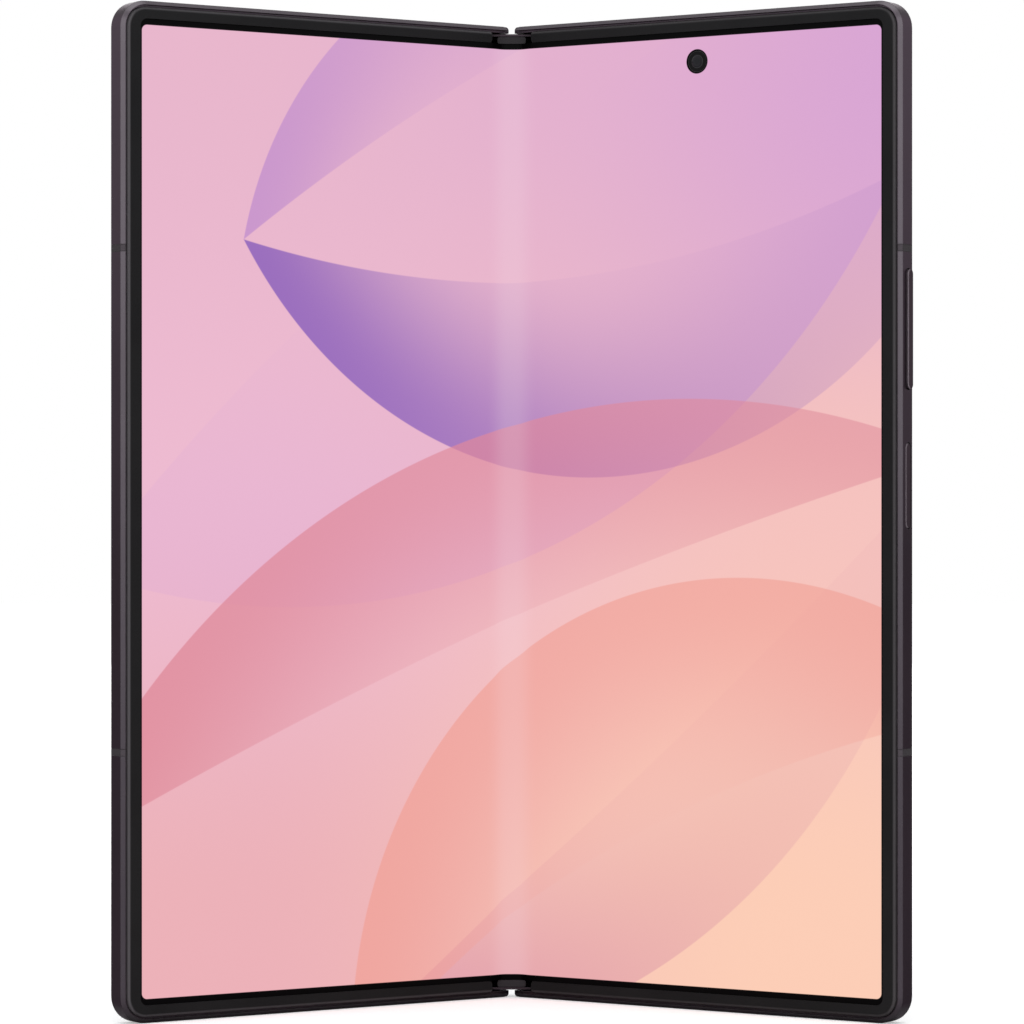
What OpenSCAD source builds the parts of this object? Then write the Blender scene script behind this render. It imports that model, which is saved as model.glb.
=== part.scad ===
// Folding smartphone, standing half open like a book on its short edges.
// Each half is drawn lying down: x runs out from the fold, y up the phone, z out of the display.
// The spine is drawn the same way with both halves flat. Placing modules stand the pieces up and fold them.

/* [Body] */
// Height of the phone as it stands
body_h = 158.4; // [152:0.2:170]
// Width of one half, from the fold line to its outer side
half_w = 71.6; // [68:0.2:78]
// Depth of one half, from the display face to the back
half_t = 3.8; // [3.8:0.1:4.4]
// Radius of the outer corners
corner_r = 4.2; // [3.4:0.1:7]
// Turn of each half from flat, as it stands
fold_angle = 32.8; // [0:0.1:90]
// Gap between the two halves along the fold line when flat
fold_split = 0.1; // [0.1:0.02:0.2]

/* [Rail and rim] */
// Thickness of the rail round a half
rail_w = 2; // [1.8:0.05:2.2]
// Width of the bright chamfer along the front of the rail
chamfer_w = 0.65; // [0.3:0.05:0.8]
// Height of the rail's front edge above the display face
rail_front = 0.3; // [0.1:0.05:0.4]
// Radius of the rail's back edge
back_r = 0.5; // [0.3:0.05:0.7]
// Width of the groove between rail and rim
groove_w = 0.25; // [0.15:0.05:0.35]
// Depth of that groove below the display face
groove_d = 0.4; // [0.3:0.05:0.55]
// Height of the rim above the display face
rim_rise = 0.4; // [0.3:0.05:0.6]
// Radius of the rim's outer edge
rim_r = 0.7; // [0.4:0.05:0.75]
// Width of the rim and groove along the side, from the rail's outer face to the opening
side_band = 3.15; // [2.9:0.05:4]
// Width of the rim and groove along the ends, from the rail's outer face to the opening
end_band = 2.8; // [2.6:0.05:4]
// Corner radius of the rim's opening
opening_r = 1.2; // [0.6:0.1:2]
// Thickness of the rail wall where it passes the end of the spine
end_wall = 1; // [0.7:0.05:1.1]
// Distance from the fold line at which that wall steps down
end_step = 0.8; // [0.75:0.05:1.5]
// Depth of that wall's front edge below the display face, beside the fold line
end_drop = 0.75; // [0.6:0.05:1]
// Corner radius of that wall
end_r = 0.55; // [0.3:0.05:0.6]
// Width of an antenna insert
insert_w = 1.1; // [0.8:0.1:1.6]
// Distance of the lower and the upper antenna insert from their end of the phone
insert_low = 42; // [36:0.5:56]
insert_drop = 38.4; // [34.4:0.1:39.9]

/* [Display] */
// Thickness of the folding display
display_t = 0.6; // [0.4:0.05:0.65]
// Thickness of the plates under the display
support_t = 0.25; // [0.2:0.01:0.3]
// Thickness of the display's adhesive gap
glue = 0.02; // [0.01:0.01:0.05]
// Width of the display hidden under the rim at the side
display_lap = 0.75; // [0.5:0.05:0.9]
// Width of the display hidden under the rim at the ends
display_end_lap = 0.7; // [0.5:0.05:0.7]
// Corner radius of the display panel
display_r = 1.8; // [1:0.1:2.5]
// Half the length of display that bends
bend_l = 3.6; // [3:0.1:3.7]
// Radius of the camera opening in the display
punch_r = 1.85; // [1.4:0.05:2.2]
// Distance of that opening from the fold line
punch_s = 35; // [32:0.5:38]
// Distance of that opening below the top of the phone
punch_drop = 7.6; // [7:0.1:9]

/* [Fold] */
// Gap between the two rims when closed
closed_gap = 0.5; // [0.3:0.05:0.8]
// Depth of each fold axis below the display face
axis_n = 0.165; // [0.1:0.005:0.25]
// Thickness of the spine's shell
spine_wall = 0.3; // [0.2:0.02:0.35]
// Running gap between the spine and the halves
spine_gap = 0.12; // [0.1:0.01:0.16]
// Depth of the spine's open edge below the display face
spine_top = 1; // [1:0.02:1.1]
// Gap between the spine's end and the rail wall
spine_end_gap = 0.1; // [0.1:0.05:0.2]
// Thickness of the spine's end wall
spine_end_wall = 0.4; // [0.3:0.05:0.5]
// Thickness of the back strip of each half over the spine
strip_t = 0.55; // [0.45:0.01:0.56]
// Half the width of the plate under the fold
fold_plate_x = 0.7; // [0.4:0.05:0.8]
// Half the width of the cap at each end of the fold
cap_x = 2.3; // [1.6:0.1:2.5]
// Height of the cap above the display face at the fold
cap_rise = 0.25; // [0:0.05:0.4]
// Length of the cap along the fold
cap_l = 1.1; // [0.8:0.05:1.15]

/* [Hinge] */
// Distance of each hinge assembly from its end of the phone
hinge_h = 14; // [8:0.5:20]
// Length of the screwed foot at the start of an assembly
foot_l = 2.6; // [2:0.1:4]
// Length of the arc tracks
track_l = 4.8; // [3:0.1:8]
// Inner radius of the arc tongues, about the fold axis
tongue_r = 1.75; // [1.7:0.01:1.8]
// Thickness of the arc tongues
tongue_t = 0.4; // [0.3:0.01:0.4]
// Running gap round the tongues
track_gap = 0.05; // [0.02:0.01:0.06]
// Turn of the tongues below the display plane
tongue_turn = 100; // [95:1:102]
// Thickness of a bearing wall
bearing_l = 1.2; // [0.8:0.1:2]
// Length of the gears
gear_l = 4; // [3:0.1:6]
// Pitch radius of the gears
gear_r = 0.55; // [0.5:0.01:0.57]
// Teeth of each gear, an even number
gear_teeth = 10; // [8:2:10]
// Depth of the gear axes below the display face
gear_n = 1.85; // [1.8:0.01:1.86]
// Height of a tooth outside the pitch circle
addendum = 0.09; // [0.06:0.01:0.09]
// Depth of a tooth inside the pitch circle
dedendum = 0.12; // [0.12:0.01:0.15]
// Radius of the gear shafts
shaft_r = 0.25; // [0.18:0.01:0.27]
// Running gap round the shafts
shaft_gap = 0.03; // [0.02:0.01:0.05]
// Thickness of a swing arm
arm_t = 0.45; // [0.3:0.01:0.46]
// Depth of the swing arm's middle below the display face when flat
arm_n = 2.3; // [2.28:0.01:2.32]
// Reach of a swing arm from the fold line when flat
arm_reach = 9.2; // [7:0.1:10]
// Radius of the detent hub and its spring
detent_r = 0.6; // [0.5:0.01:0.62]
// Length of a detent spring
spring_l = 8; // [5:0.5:12]
// Coils of a detent spring
spring_turns = 7; // [5:1:12]
// Wire radius of a detent spring
wire_r = 0.11; // [0.08:0.01:0.12]

/* [Structure] */
// Depth of the middle plate's underside below the display face
mid_depth = 1.15; // [1.1:0.01:1.16]
// Reach of the wing plates from the fold line
wing_reach = 11.4; // [10:0.1:12]
// Reach of the wall beside the spine
hinge_wall = 6.3; // [5.5:0.1:6.4]
// Reach of the hinge bosses
boss_reach = 8.4; // [7.8:0.1:9]
// Thickness of the back glass
glass_t = 0.4; // [0.3:0.02:0.42]
// Inset of the back glass from the outer face
glass_inset = 0.8; // [0.6:0.05:1]
// Gap round the back glass
glass_gap = 0.06; // [0.04:0.01:0.1]
// Clearance between fixed inner pieces
seat = 0.1; // [0.05:0.01:0.15]

/* [Keys] */
// Length of the volume key
volume_l = 18.6; // [14:0.2:20]
// Distance of the volume key's middle below the top of the phone
volume_drop = 50.9; // [50.4:0.1:52.4]
// Width of both keys
key_w = 1.65; // [1.2:0.05:1.7]
// Depth of both keys' middle below the display face
key_n = 2.175; // [2.1:0.005:2.2]
// Rise of the volume key above the rail
volume_rise = 0.38; // [0.2:0.02:0.5]
// Length of the side key
side_key_l = 13.2; // [9:0.2:14]
// Distance of the side key's middle below the top of the phone
side_key_drop = 75.15; // [74.4:0.05:76.4]
// Depth of the side key's face below the rail
side_key_sink = 0.05; // [0:0.01:0.1]
// Gap round a key in its slot
key_gap = 0.12; // [0.1:0.01:0.15]
// Inward travel that is left behind a key
key_travel = 0.25; // [0.2:0.01:0.3]
// Thickness of a key's flange
flange_t = 0.5; // [0.4:0.02:0.6]
// Overhang of a flange past the key
flange_lap = 0.7; // [0.5:0.05:0.8]

/* [Tray and port] */
// Distance of the card tray's middle from the fold line
tray_s = 22.2; // [21:0.2:24]
// Width of the card tray's face
tray_w = 13.3; // [13:0.1:14]
// Thickness of the card tray's face
tray_face_t = 1; // [0.9:0.05:1.1]
// Depth of the tray's middle below the display face
tray_n = 1.9; // [1.86:0.01:1.95]
// Length of the card tray
tray_l = 17.4; // [15:0.2:19]
// Thickness of the tray's carrier
carrier_t = 0.6; // [0.5:0.02:0.7]
// Running gap round the tray
tray_gap = 0.1; // [0.06:0.01:0.15]
// Distance of the charging port's middle from the fold line
port_s = 35.8; // [34:0.2:38]
// Width and height of the port's opening
port_w = 8.5; // [8.4:0.05:8.6]
port_open = 2.56; // [2.5:0.01:2.58]
// Thickness of the port's shell
port_shell = 0.1; // [0.06:0.01:0.12]
// Depth of the port's socket
port_l = 7.2; // [6.5:0.1:8]

/* [Cameras] */
// Width of the camera deck
deck_w = 21; // [18:0.5:22]
// Length of the camera deck
deck_l = 62; // [60:0.5:64]
// Thickness of the camera deck
deck_t = 1.5; // [1:0.1:2]
// Distance of the camera column from the outer face
lens_side = 14.6; // [14.1:0.1:15.6]
// Distance of the deck's top from the top of the phone
deck_drop = 8; // [7.5:0.5:10]
// Distance between lenses
lens_pitch = 20; // [18:0.5:20.5]
// Outer radius of a lens ring
ring_r = 7.4; // [6.5:0.1:7.6]
// Rise of a lens ring from the deck
ring_rise = 0.9; // [0.4:0.1:1.5]
// Radius of a lens glass
lens_r = 5.8; // [5:0.1:6]
// Radius of a camera barrel
barrel_r = 4.2; // [3.5:0.1:4.6]
// Side of a camera module
module_side = 11; // [10:0.5:12]
// Radius of the flash lens
flash_r = 1.9; // [1.5:0.1:2.5]

/* [Inner pieces] */
// Distance of the batteries' inner side from the fold line
cell_s = 13; // [12.5:0.5:14]
// Distance of the batteries' outer side from the outer face
cell_side = 5.6; // [5.4:0.1:8]
// Height of the batteries' lower end
cell_low = 28; // [27.5:0.5:32]
// Distance of the right battery's upper end below the top of the phone
right_cell_drop = 74.4; // [73.4:0.1:83.4]
// Distance of the left battery's upper end below the top of the phone
left_cell_drop = 31.4; // [30.4:0.1:48.4]
// Thickness of the boards
board_t = 0.7; // [0.5:0.05:0.8]
// Gap between the middle plate and the boards
board_gap = 0.15; // [0.1:0.01:0.2]
// Rise of the shield cans over the mainboard
can_h = 1.2; // [0.9:0.05:1.25]
// Outer and inner radius of the charging coil
coil_r = 21; // [18:0.5:23]
coil_inner_r = 9; // [7:0.5:12]
// Thickness of the charging coil
coil_t = 0.16; // [0.1:0.01:0.18]
// Thickness of the cover display
cover_display_t = 0.42; // [0.3:0.01:0.43]
// Length and thickness of a holding magnet
magnet_l = 10; // [6:0.5:12]
magnet_t = 1.8; // [1:0.1:1.9]
// Width of the cable across the hinge
flex_w = 9; // [6:0.5:12]
// Thickness of that cable
flex_t = 0.15; // [0.1:0.01:0.2]
// Radius of a screw head and of its shank
screw_head_r = 0.75; // [0.6:0.05:0.8]
screw_r = 0.4; // [0.3:0.02:0.42]
// Height of a screw head
screw_head_t = 0.4; // [0.3:0.05:0.5]
// Clearance round a screw
screw_gap = 0.04; // [0.02:0.01:0.05]

/* [Hidden] */

$fn = 64;
// a little more than nothing, to cut cleanly through a face
cut = 0.2;
// far outside every piece
far = 20;

// fold axes and the spine's size follow from the closed phone
axis_x = closed_gap / 2 + rim_rise + axis_n;
// least thickness by which the space swept by the spine misses the back strip and the rim
strip_play = 0.015;
// clearance between fixed neighbours, and half of it
play = 0.1;
hair = 0.05;
// how far a piece reaches into its neighbour's wall, so that both are one solid
overlap = 0.3;
// room beside the hinge's moving pieces
arm_room = 0.3;
flex_room = 0.5;
flex_deep = mid_depth + flex_room + play;

rim_play = 0.065;
spine_r = half_t - strip_t - axis_n - spine_gap - strip_play;
clear_r = spine_r + spine_gap;
spine_in_r = spine_r - spine_wall;
rim_start = axis_x + clear_r + rim_play;

// levels below the display face
support_top = display_t + glue;
support_bottom = support_top + support_t;
plate_top = display_t + 0.05;
glass_top = half_t - glass_t;
glass_seat = glass_top - 0.02;
floor_n = axis_n + spine_in_r;

// places along the height
spine_low = end_wall + spine_end_gap;
cap_high = end_band;
display_low = end_band - display_end_lap;
fold_low = end_band + 0.05;
mid_h = body_h / 2;
lens_s = half_w - lens_side;
insert_high = body_h - insert_drop;
volume_h = body_h - volume_drop;
side_key_h = body_h - side_key_drop;
right_cell_high = body_h - right_cell_drop;
left_cell_high = body_h - left_cell_drop;

// outer ends of the display, out from the fold
display_out = half_w - side_band + display_lap;

// lengths along a hinge assembly, from its outer end
track_0 = foot_l;
track_1 = track_0 + track_l;
wall_1 = track_1 + bearing_l;
gear_0 = wall_1 + 0.2;
gear_1 = gear_0 + gear_l;
wall_2 = gear_1 + 0.2;
wall_3 = wall_2 + bearing_l;
hub_0 = wall_3 + 0.2;
hub_1 = hub_0 + 1.2;
follower_0 = hub_1 + 0.1;
follower_1 = follower_0 + 1.5;
spring_0 = follower_1 + 0.05;
spring_1 = spring_0 + spring_l;
block_0 = spring_1 + 0.05;
block_1 = block_0 + 3;
arm_gear_x = 3 * gear_r;
foot_screw_h = hinge_h + foot_l / 2;
block_screw_h = hinge_h + block_1 - foot_l / 2;

// standing place of the fold, so that the phone is centred over its origin
front_v = (half_w - chamfer_w - axis_x) * sin(fold_angle) + (rail_front + axis_n) * cos(fold_angle);
back_v = (fold_split / 2 - axis_x) * sin(fold_angle) + (axis_n - half_t) * cos(fold_angle);
fold_y = (front_v + back_v) / 2 - axis_n;

metal = "#3a3338";
dark = "#232326";
black = "#101012";
steel = "#8d8f93";
brass = "#b08d4c";
board_green = "#1f5a41";

// ---------- placing ----------

// stands the spine's flat drawing up
module in_spine() {
    translate([0, fold_y, 0])
    rotate([90, 0, 0])
    children();
}

// stands the right half up and folds it about its axis
module in_right() {
    in_spine()
    translate([axis_x, 0, -axis_n])
    rotate([0, -fold_angle, 0])
    translate([-axis_x, 0, axis_n])
    children();
}

// the left half is drawn as the right one, then mirrored
module in_left() {
    in_spine()
    mirror([1, 0, 0])
    translate([axis_x, 0, -axis_n])
    rotate([0, -fold_angle, 0])
    translate([-axis_x, 0, axis_n])
    children();
}

// a copy at each end of the phone
module both_ends() {
    children();
    translate([0, body_h, 0])
    mirror([0, 1, 0])
    children();
}

// a copy at each side of the fold
module both_sides() {
    children();
    mirror([1, 0, 0])
    children();
}

// extrudes a section drawn in x and z along the height
module along_h(h0, h1) {
    translate([0, h1, 0])
    rotate([90, 0, 0])
    linear_extrude(h1 - h0)
    children();
}

// extrudes a section drawn in y and z outwards from the fold
module along_s(s0, s1) {
    translate([s0, 0, 0])
    rotate([90, 0, 90])
    linear_extrude(s1 - s0)
    children();
}

// a slab between two depths below the display face
module slab(deep, shallow) {
    translate([0, 0, -deep])
    linear_extrude(deep - shallow)
    children();
}

module box(s0, h0, s1, h1, deep, shallow) {
    translate([s0, h0, -deep])
    cube([s1 - s0, h1 - h0, deep - shallow]);
}

// ---------- flat shapes ----------

module rounded(x0, y0, x1, y1, r) {
    translate([x0 + r, y0])
    square([x1 - x0 - 2 * r, y1 - y0]);
    translate([x0, y0 + r])
    square([x1 - x0, y1 - y0 - 2 * r]);
    for (x = [x0 + r, x1 - r])
        for (y = [y0 + r, y1 - r])
            translate([x, y])
            circle(r);
}

module stadium(l, w) {
    rounded(-l / 2, -w / 2, l / 2, w / 2, w / 2 - 0.001);
}

// part of a ring between two angles of less than half a turn
module ring_sector(r0, r1, a0, a1) {
    am = (a0 + a1) / 2;
    intersection() {
        difference() {
            circle(r1);
            circle(r0);
        }
        polygon([[0, 0], far * [cos(a0), sin(a0)], far * [cos(am), sin(am)], far * [cos(a1), sin(a1)]]);
    }
}

// inside of the spine's trough, out to radius r
module spine_section(r) {
    intersection() {
        union() {
            for (side = [-1, 1])
                translate([side * axis_x, -axis_n])
                circle(r);
            translate([-axis_x, -axis_n - r])
            square([2 * axis_x, r]);
        }
        translate([-far, -far])
        square([2 * far, far - spine_top]);
    }
}

// gear with straight-sided teeth, the first of them at the given angle
module gear_section(phase) {
    pitch = 360 / gear_teeth;
    tip = gear_r + addendum;
    root = gear_r - dedendum;
    circle(root);
    for (i = [0 : gear_teeth - 1])
        rotate(phase + i * pitch)
        polygon([[root - 0.05, -pitch * 0.0029], [root - 0.05, pitch * 0.0029],
            [tip, pitch * 0.0011], [tip, -pitch * 0.0011]]);
}

// ---------- spine ----------

module spine_cover() {
    color(metal)
    in_spine()
    difference() {
        along_h(spine_low, body_h - spine_low)
        spine_section(spine_r);
        along_h(spine_low + spine_end_wall, body_h - spine_low - spine_end_wall)
        spine_hollow();
        both_ends()
        both_sides() {
            // room for the brackets and the swing arms to pass over the shell's side
            box(strip_s, hinge_h + track_0 - play, far, hinge_h + track_1 + play, bracket_n + hair, 0);
            box(arm_gear_x, hinge_h + gear_0 - arm_room, far, hinge_h + gear_1 + arm_room,
                arm_n + arm_t / 2 + play, 0);
            // room for the cable across the hinge
            box(arm_gear_x, flex_h - flex_room, far, flex_h + flex_w + flex_room, flex_deep, 0);
        }
        // blind holes for the spine screws
        both_ends()
        for (h = [foot_screw_h, block_screw_h])
            translate([0, h, -floor_n - 0.15])
            cylinder(h = 1, r = screw_r - 0.1 + screw_gap);
    }
}

// inside of the shell, open at the top
module spine_hollow() {
    spine_section(spine_in_r);
    translate([-axis_x - spine_in_r + hair, -spine_top])
    square([2 * (axis_x + spine_in_r - hair), 2 * cut]);
}

// screwed foot and arc tracks, bearing wall, inner wall and end block of each hinge assembly
module hinge_base() {
    // foot, tracks and the first bearing wall
    difference() {
        along_h(hinge_h, hinge_h + wall_1)
        spine_section(spine_in_r - 0.02);
        both_sides() {
            along_h(hinge_h + track_0, hinge_h + track_1)
            translate([axis_x, -axis_n])
            ring_sector(tongue_r - track_gap, tongue_r + tongue_t + track_gap, -tongue_turn - 3, 10);
            box(strip_s, hinge_h + track_0, far, hinge_h + track_1, bracket_n + hair, 0);
        }
        screw_space(0, foot_screw_h);
        both_sides() {
            shaft_bore(arm_gear_x, track_1, wall_1);
            shaft_bore(gear_r, track_1, wall_1);
        }
    }
    // bearing wall beyond the gears
    difference() {
        along_h(hinge_h + wall_2, hinge_h + wall_3)
        spine_section(spine_in_r - 0.02);
        both_sides() {
            shaft_bore(arm_gear_x, wall_2, wall_3);
            shaft_bore(gear_r, wall_2, wall_3);
        }
    }
    // block that the detent springs push on
    difference() {
        along_h(hinge_h + block_0, hinge_h + block_1)
        spine_section(spine_in_r - 0.02);
        both_sides()
        shaft_bore(arm_gear_x, block_0, block_1);
        screw_space(0, block_screw_h);
    }
}

module shaft_bore(x, w0, w1) {
    along_h(hinge_h + w0 - cut, hinge_h + w1 + cut)
    translate([x, -gear_n])
    circle(shaft_r + shaft_gap);
}

// room for a spine screw through a block, from its top face
module screw_space(x, h) {
    translate([x, h, -half_t])
    cylinder(h = half_t, r = screw_r - 0.1 + screw_gap);
    translate([x, h, -spine_top - screw_head_t - screw_gap])
    cylinder(h = spine_top, r = screw_head_r - 0.1 + screw_gap);
}

module spine_screw(h) {
    translate([0, h, -floor_n - 0.14])
    cylinder(h = floor_n + 0.15 - spine_top - screw_head_t, r = screw_r - 0.1);
    translate([0, h, -spine_top - screw_head_t])
    cylinder(h = screw_head_t - 0.03, r = screw_head_r - 0.1);
}

module hinge_bases() {
    color(steel)
    in_spine()
    both_ends()
    hinge_base();
}

module spine_screws() {
    color("#c9cacc")
    in_spine()
    both_ends() {
        spine_screw(foot_screw_h);
        spine_screw(block_screw_h);
    }
}

// the blocks that the springs press on the arms' hubs
module detent_followers() {
    color(brass)
    in_spine()
    both_ends()
    difference() {
        along_h(hinge_h + follower_0, hinge_h + follower_1)
        intersection() {
            spine_section(spine_in_r - 0.05);
            translate([-far, -gear_n - detent_r])
            square([2 * far, 2 * detent_r]);
        }
        both_sides()
        shaft_bore(arm_gear_x, follower_0, follower_1);
    }
}

// wire swept along a helix from one end of the spring to the other
SPRING_SIDES = 6;
RINGS_PER_TURN = 10;
spring_mean_r = detent_r - wire_r;
spring_rings = spring_turns * RINGS_PER_TURN;
spring_rise = (spring_l - 2 * wire_r - 0.02) / spring_rings;

// point k of ring i; the ring stands square to the shaft's plane through it
function spring_point(i, k) =
    let (a = i * 360 / RINGS_PER_TURN, b = -k * 360 / SPRING_SIDES, r = spring_mean_r + wire_r * cos(b))
    [r * cos(a), r * sin(a), wire_r + 0.01 + i * spring_rise + wire_r * sin(b)];

module spring() {
    points = [for (i = [0 : spring_rings]) for (k = [0 : SPRING_SIDES - 1]) spring_point(i, k)];
    last = spring_rings * SPRING_SIDES;
    sides = [for (i = [0 : spring_rings - 1]) for (k = [0 : SPRING_SIDES - 1])
        let (a = i * SPRING_SIDES + k, b = i * SPRING_SIDES + (k + 1) % SPRING_SIDES)
        each [[a, b, b + SPRING_SIDES], [a, b + SPRING_SIDES, a + SPRING_SIDES]]];
    ends = [for (k = [1 : SPRING_SIDES - 2])
        each [[0, k + 1, k], [last, last + k, last + k + 1]]];
    polyhedron(points, concat(sides, ends));
}

module detent_springs() {
    color(steel)
    in_spine()
    both_ends()
    both_sides()
    translate([arm_gear_x, hinge_h + spring_0 + spring_l, -gear_n])
    rotate([90, 0, 0])
    spring();
}

module fold_plate() {
    color(steel)
    in_spine()
    box(-fold_plate_x, fold_low, fold_plate_x, body_h - fold_low, spine_top, support_top);
}

// closes each end of the fold, beyond the display
module fold_caps() {
    cap_step = 0.3;
    color(dark)
    in_spine()
    both_ends() {
        slab(display_t, -cap_rise)
        rounded(-cap_x, cap_high - cap_l, cap_x, cap_high, 0.35);
        along_h(cap_high - cap_l + play, cap_high - play)
        intersection() {
            translate([-cap_x + cap_step, -half_t])
            square([2 * (cap_x - cap_step), half_t - display_t + play]);
            union() {
                spine_section(spine_in_r - 0.02);
                translate([-axis_x, -spine_top - play])
                square([2 * axis_x, spine_top]);
            }
        }
    }
}

// share of the fold that the display has turned at a distance s from the fold line
function turned_share(s) =
    let (t = min(max(s / bend_l, 0), 1))
    t * t * (3 - 2 * t);

// where a point of the flat display lies, once its part of the display has turned
function bent(s, n) =
    let (a = turned_share(s) * fold_angle, x = s - axis_x, z = n + axis_n)
    [axis_x + x * cos(a) - z * sin(a), -axis_n + x * sin(a) + z * cos(a)];

BEND_STEPS = 14;

function bend_line(n) = [for (i = [0 : BEND_STEPS]) bent(i * rim_start / BEND_STEPS, n)];
function flipped(line) = [for (i = [len(line) - 1 : -1 : 0]) line[i]];
function mirrored(line) = [for (p = line) [-p[0], p[1]]];

// the part of the display that bends between the two halves
module display_fold() {
    top = bend_line(0);
    bottom = bend_line(-display_t);
    color(black)
    in_spine()
    both_sides()
    along_h(fold_low, body_h - fold_low)
    polygon(concat(top, flipped(bottom)));
}

// point t of the cable's curve from the middle of the spine into a half
flex_end_s = rim_start + 0.3;
flex_end_n = -mid_depth - 0.25;
function placed(s, n) =
    let (x = s - axis_x, z = n + axis_n)
    [axis_x + x * cos(fold_angle) - z * sin(fold_angle), -axis_n + x * sin(fold_angle) + z * cos(fold_angle)];
flex_p0 = [0, -floor_n + 0.7];
flex_p1 = [1.8, -floor_n + 0.7];
flex_p3 = placed(flex_end_s, flex_end_n);
flex_p2 = flex_p3 - 2 * [cos(fold_angle), sin(fold_angle)];
function flex_at(t) =
    pow(1 - t, 3) * flex_p0 + 3 * pow(1 - t, 2) * t * flex_p1
    + 3 * (1 - t) * t * t * flex_p2 + pow(t, 3) * flex_p3;
function flex_way(t) =
    let (d = 3 * pow(1 - t, 2) * (flex_p1 - flex_p0) + 6 * (1 - t) * t * (flex_p2 - flex_p1)
        + 3 * t * t * (flex_p3 - flex_p2))
    d / norm(d);
FLEX_STEPS = 12;

// two cables carry the signals between the halves
module hinge_flex() {
    upper = [for (i = [0 : FLEX_STEPS]) let (t = i / FLEX_STEPS, w = flex_way(t))
        flex_at(t) + flex_t / 2 * [-w[1], w[0]]];
    lower = [for (i = [0 : FLEX_STEPS]) let (t = i / FLEX_STEPS, w = flex_way(t))
        flex_at(t) - flex_t / 2 * [-w[1], w[0]]];
    tail = placed(hinge_wall + 4, flex_end_n + flex_t / 2);
    tail_low = placed(hinge_wall + 4, flex_end_n - flex_t / 2);
    color("#b5722a")
    in_spine()
    both_ends()
    both_sides()
    along_h(flex_h, flex_h + flex_w)
    polygon(concat(upper, [tail, tail_low], flipped(lower)));
}
flex_h = mid_h - 20;

// ---------- gears and swing arms ----------

// the gear, shaft, arm and detent hub of one side, drawn flat about the gear's axis
module sync_arm(phase) {
    along_h(hinge_h + gear_0, hinge_h + gear_1) {
        gear_section(phase);
        translate([0, gear_n - arm_n - arm_t / 2])
        square([arm_reach - arm_gear_x, arm_t]);
    }
    along_h(hinge_h + track_1 + 0.1, hinge_h + block_1 - 0.5)
    circle(shaft_r);
    along_h(hinge_h + hub_0, hinge_h + hub_1)
    circle(detent_r);
}

module sync_arms(phase) {
    translate([arm_gear_x, 0, -gear_n])
    rotate([0, -fold_angle, 0])
    both_ends()
    sync_arm(phase);
}

module idlers(phase) {
    translate([gear_r, 0, -gear_n])
    rotate([0, fold_angle, 0])
    both_ends() {
        along_h(hinge_h + gear_0, hinge_h + gear_1)
        gear_section(phase);
        along_h(hinge_h + track_1 + play, hinge_h + wall_3 - play)
        circle(shaft_r);
    }
}

half_tooth = 180 / gear_teeth;

module right_sync_arms() {
    color(brass)
    in_spine()
    sync_arms(half_tooth);
}

module left_sync_arms() {
    color(brass)
    in_spine()
    mirror([1, 0, 0])
    sync_arms(0);
}

module right_idlers() {
    color(steel)
    in_spine()
    idlers(0);
}

module left_idlers() {
    color(steel)
    in_spine()
    mirror([1, 0, 0])
    idlers(half_tooth);
}

// ---------- shapes that both halves share ----------

// sweeps a section, x inwards from the outer face and y out of the display, round the half's three sides
module edge_sweep(s_start) {
    translate([half_w - corner_r, corner_r, 0])
    rotate([0, 0, -90])
    rotate_extrude(angle = 90)
    translate([corner_r, 0])
    mirror([1, 0])
    children();
    translate([half_w - corner_r, body_h - corner_r, 0])
    rotate_extrude(angle = 90)
    translate([corner_r, 0])
    mirror([1, 0])
    children();
    along_h(corner_r, body_h - corner_r)
    translate([half_w, 0])
    mirror([1, 0])
    children();
    both_ends()
    along_s(s_start, half_w - corner_r)
    children();
}

// keeps what lies in front of the rounded back edge
module back_round() {
    difference() {
        translate([-cut, -half_t - cut])
        square(back_r + cut);
        translate([back_r, back_r - half_t])
        circle(back_r);
    }
}

module rail_section() {
    difference() {
        polygon([[0, -half_t], [0, rail_front - chamfer_w], [chamfer_w, rail_front],
            [chamfer_w, -groove_d], [rail_w, -groove_d], [rail_w, -glass_seat],
            [glass_inset, -glass_seat], [glass_inset, -half_t]]);
        back_round();
    }
}

// outline of a half, inset by d from the rail's outer face and starting s0 from the fold
module half_outline(s0, d) {
    rounded(s0, d, half_w - d, body_h - d, corner_r - d);
    translate([s0, d])
    square([corner_r, body_h - 2 * d]);
}

// room that the spine sweeps as the half folds
module spine_sweep() {
    along_h(-cut, body_h + cut)
    translate([axis_x, -axis_n])
    circle(clear_r);
}

// wall beside the end of the spine: it keeps the rail's chamfer up to a step close to the fold
module end_walls() {
    both_ends() {
        end_wall_part(fold_split / 2, end_drop);
        end_wall_part(end_step, -rail_front);
    }
}

// wall from s0 outwards, up to that depth, with its rounded corner
module end_wall_part(s0, shallow) {
    intersection() {
        slab(half_t + cut, shallow)
        rounded(s0, 0, half_w, 2 * end_r + 1, end_r);
        along_s(0, rim_start + 0.5)
        difference() {
            polygon([[0, -half_t], [0, rail_front - chamfer_w], [chamfer_w, rail_front],
                [chamfer_w, -groove_d], [end_wall, -groove_d], [end_wall, -half_t]]);
            back_round();
        }
    }
}

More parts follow.
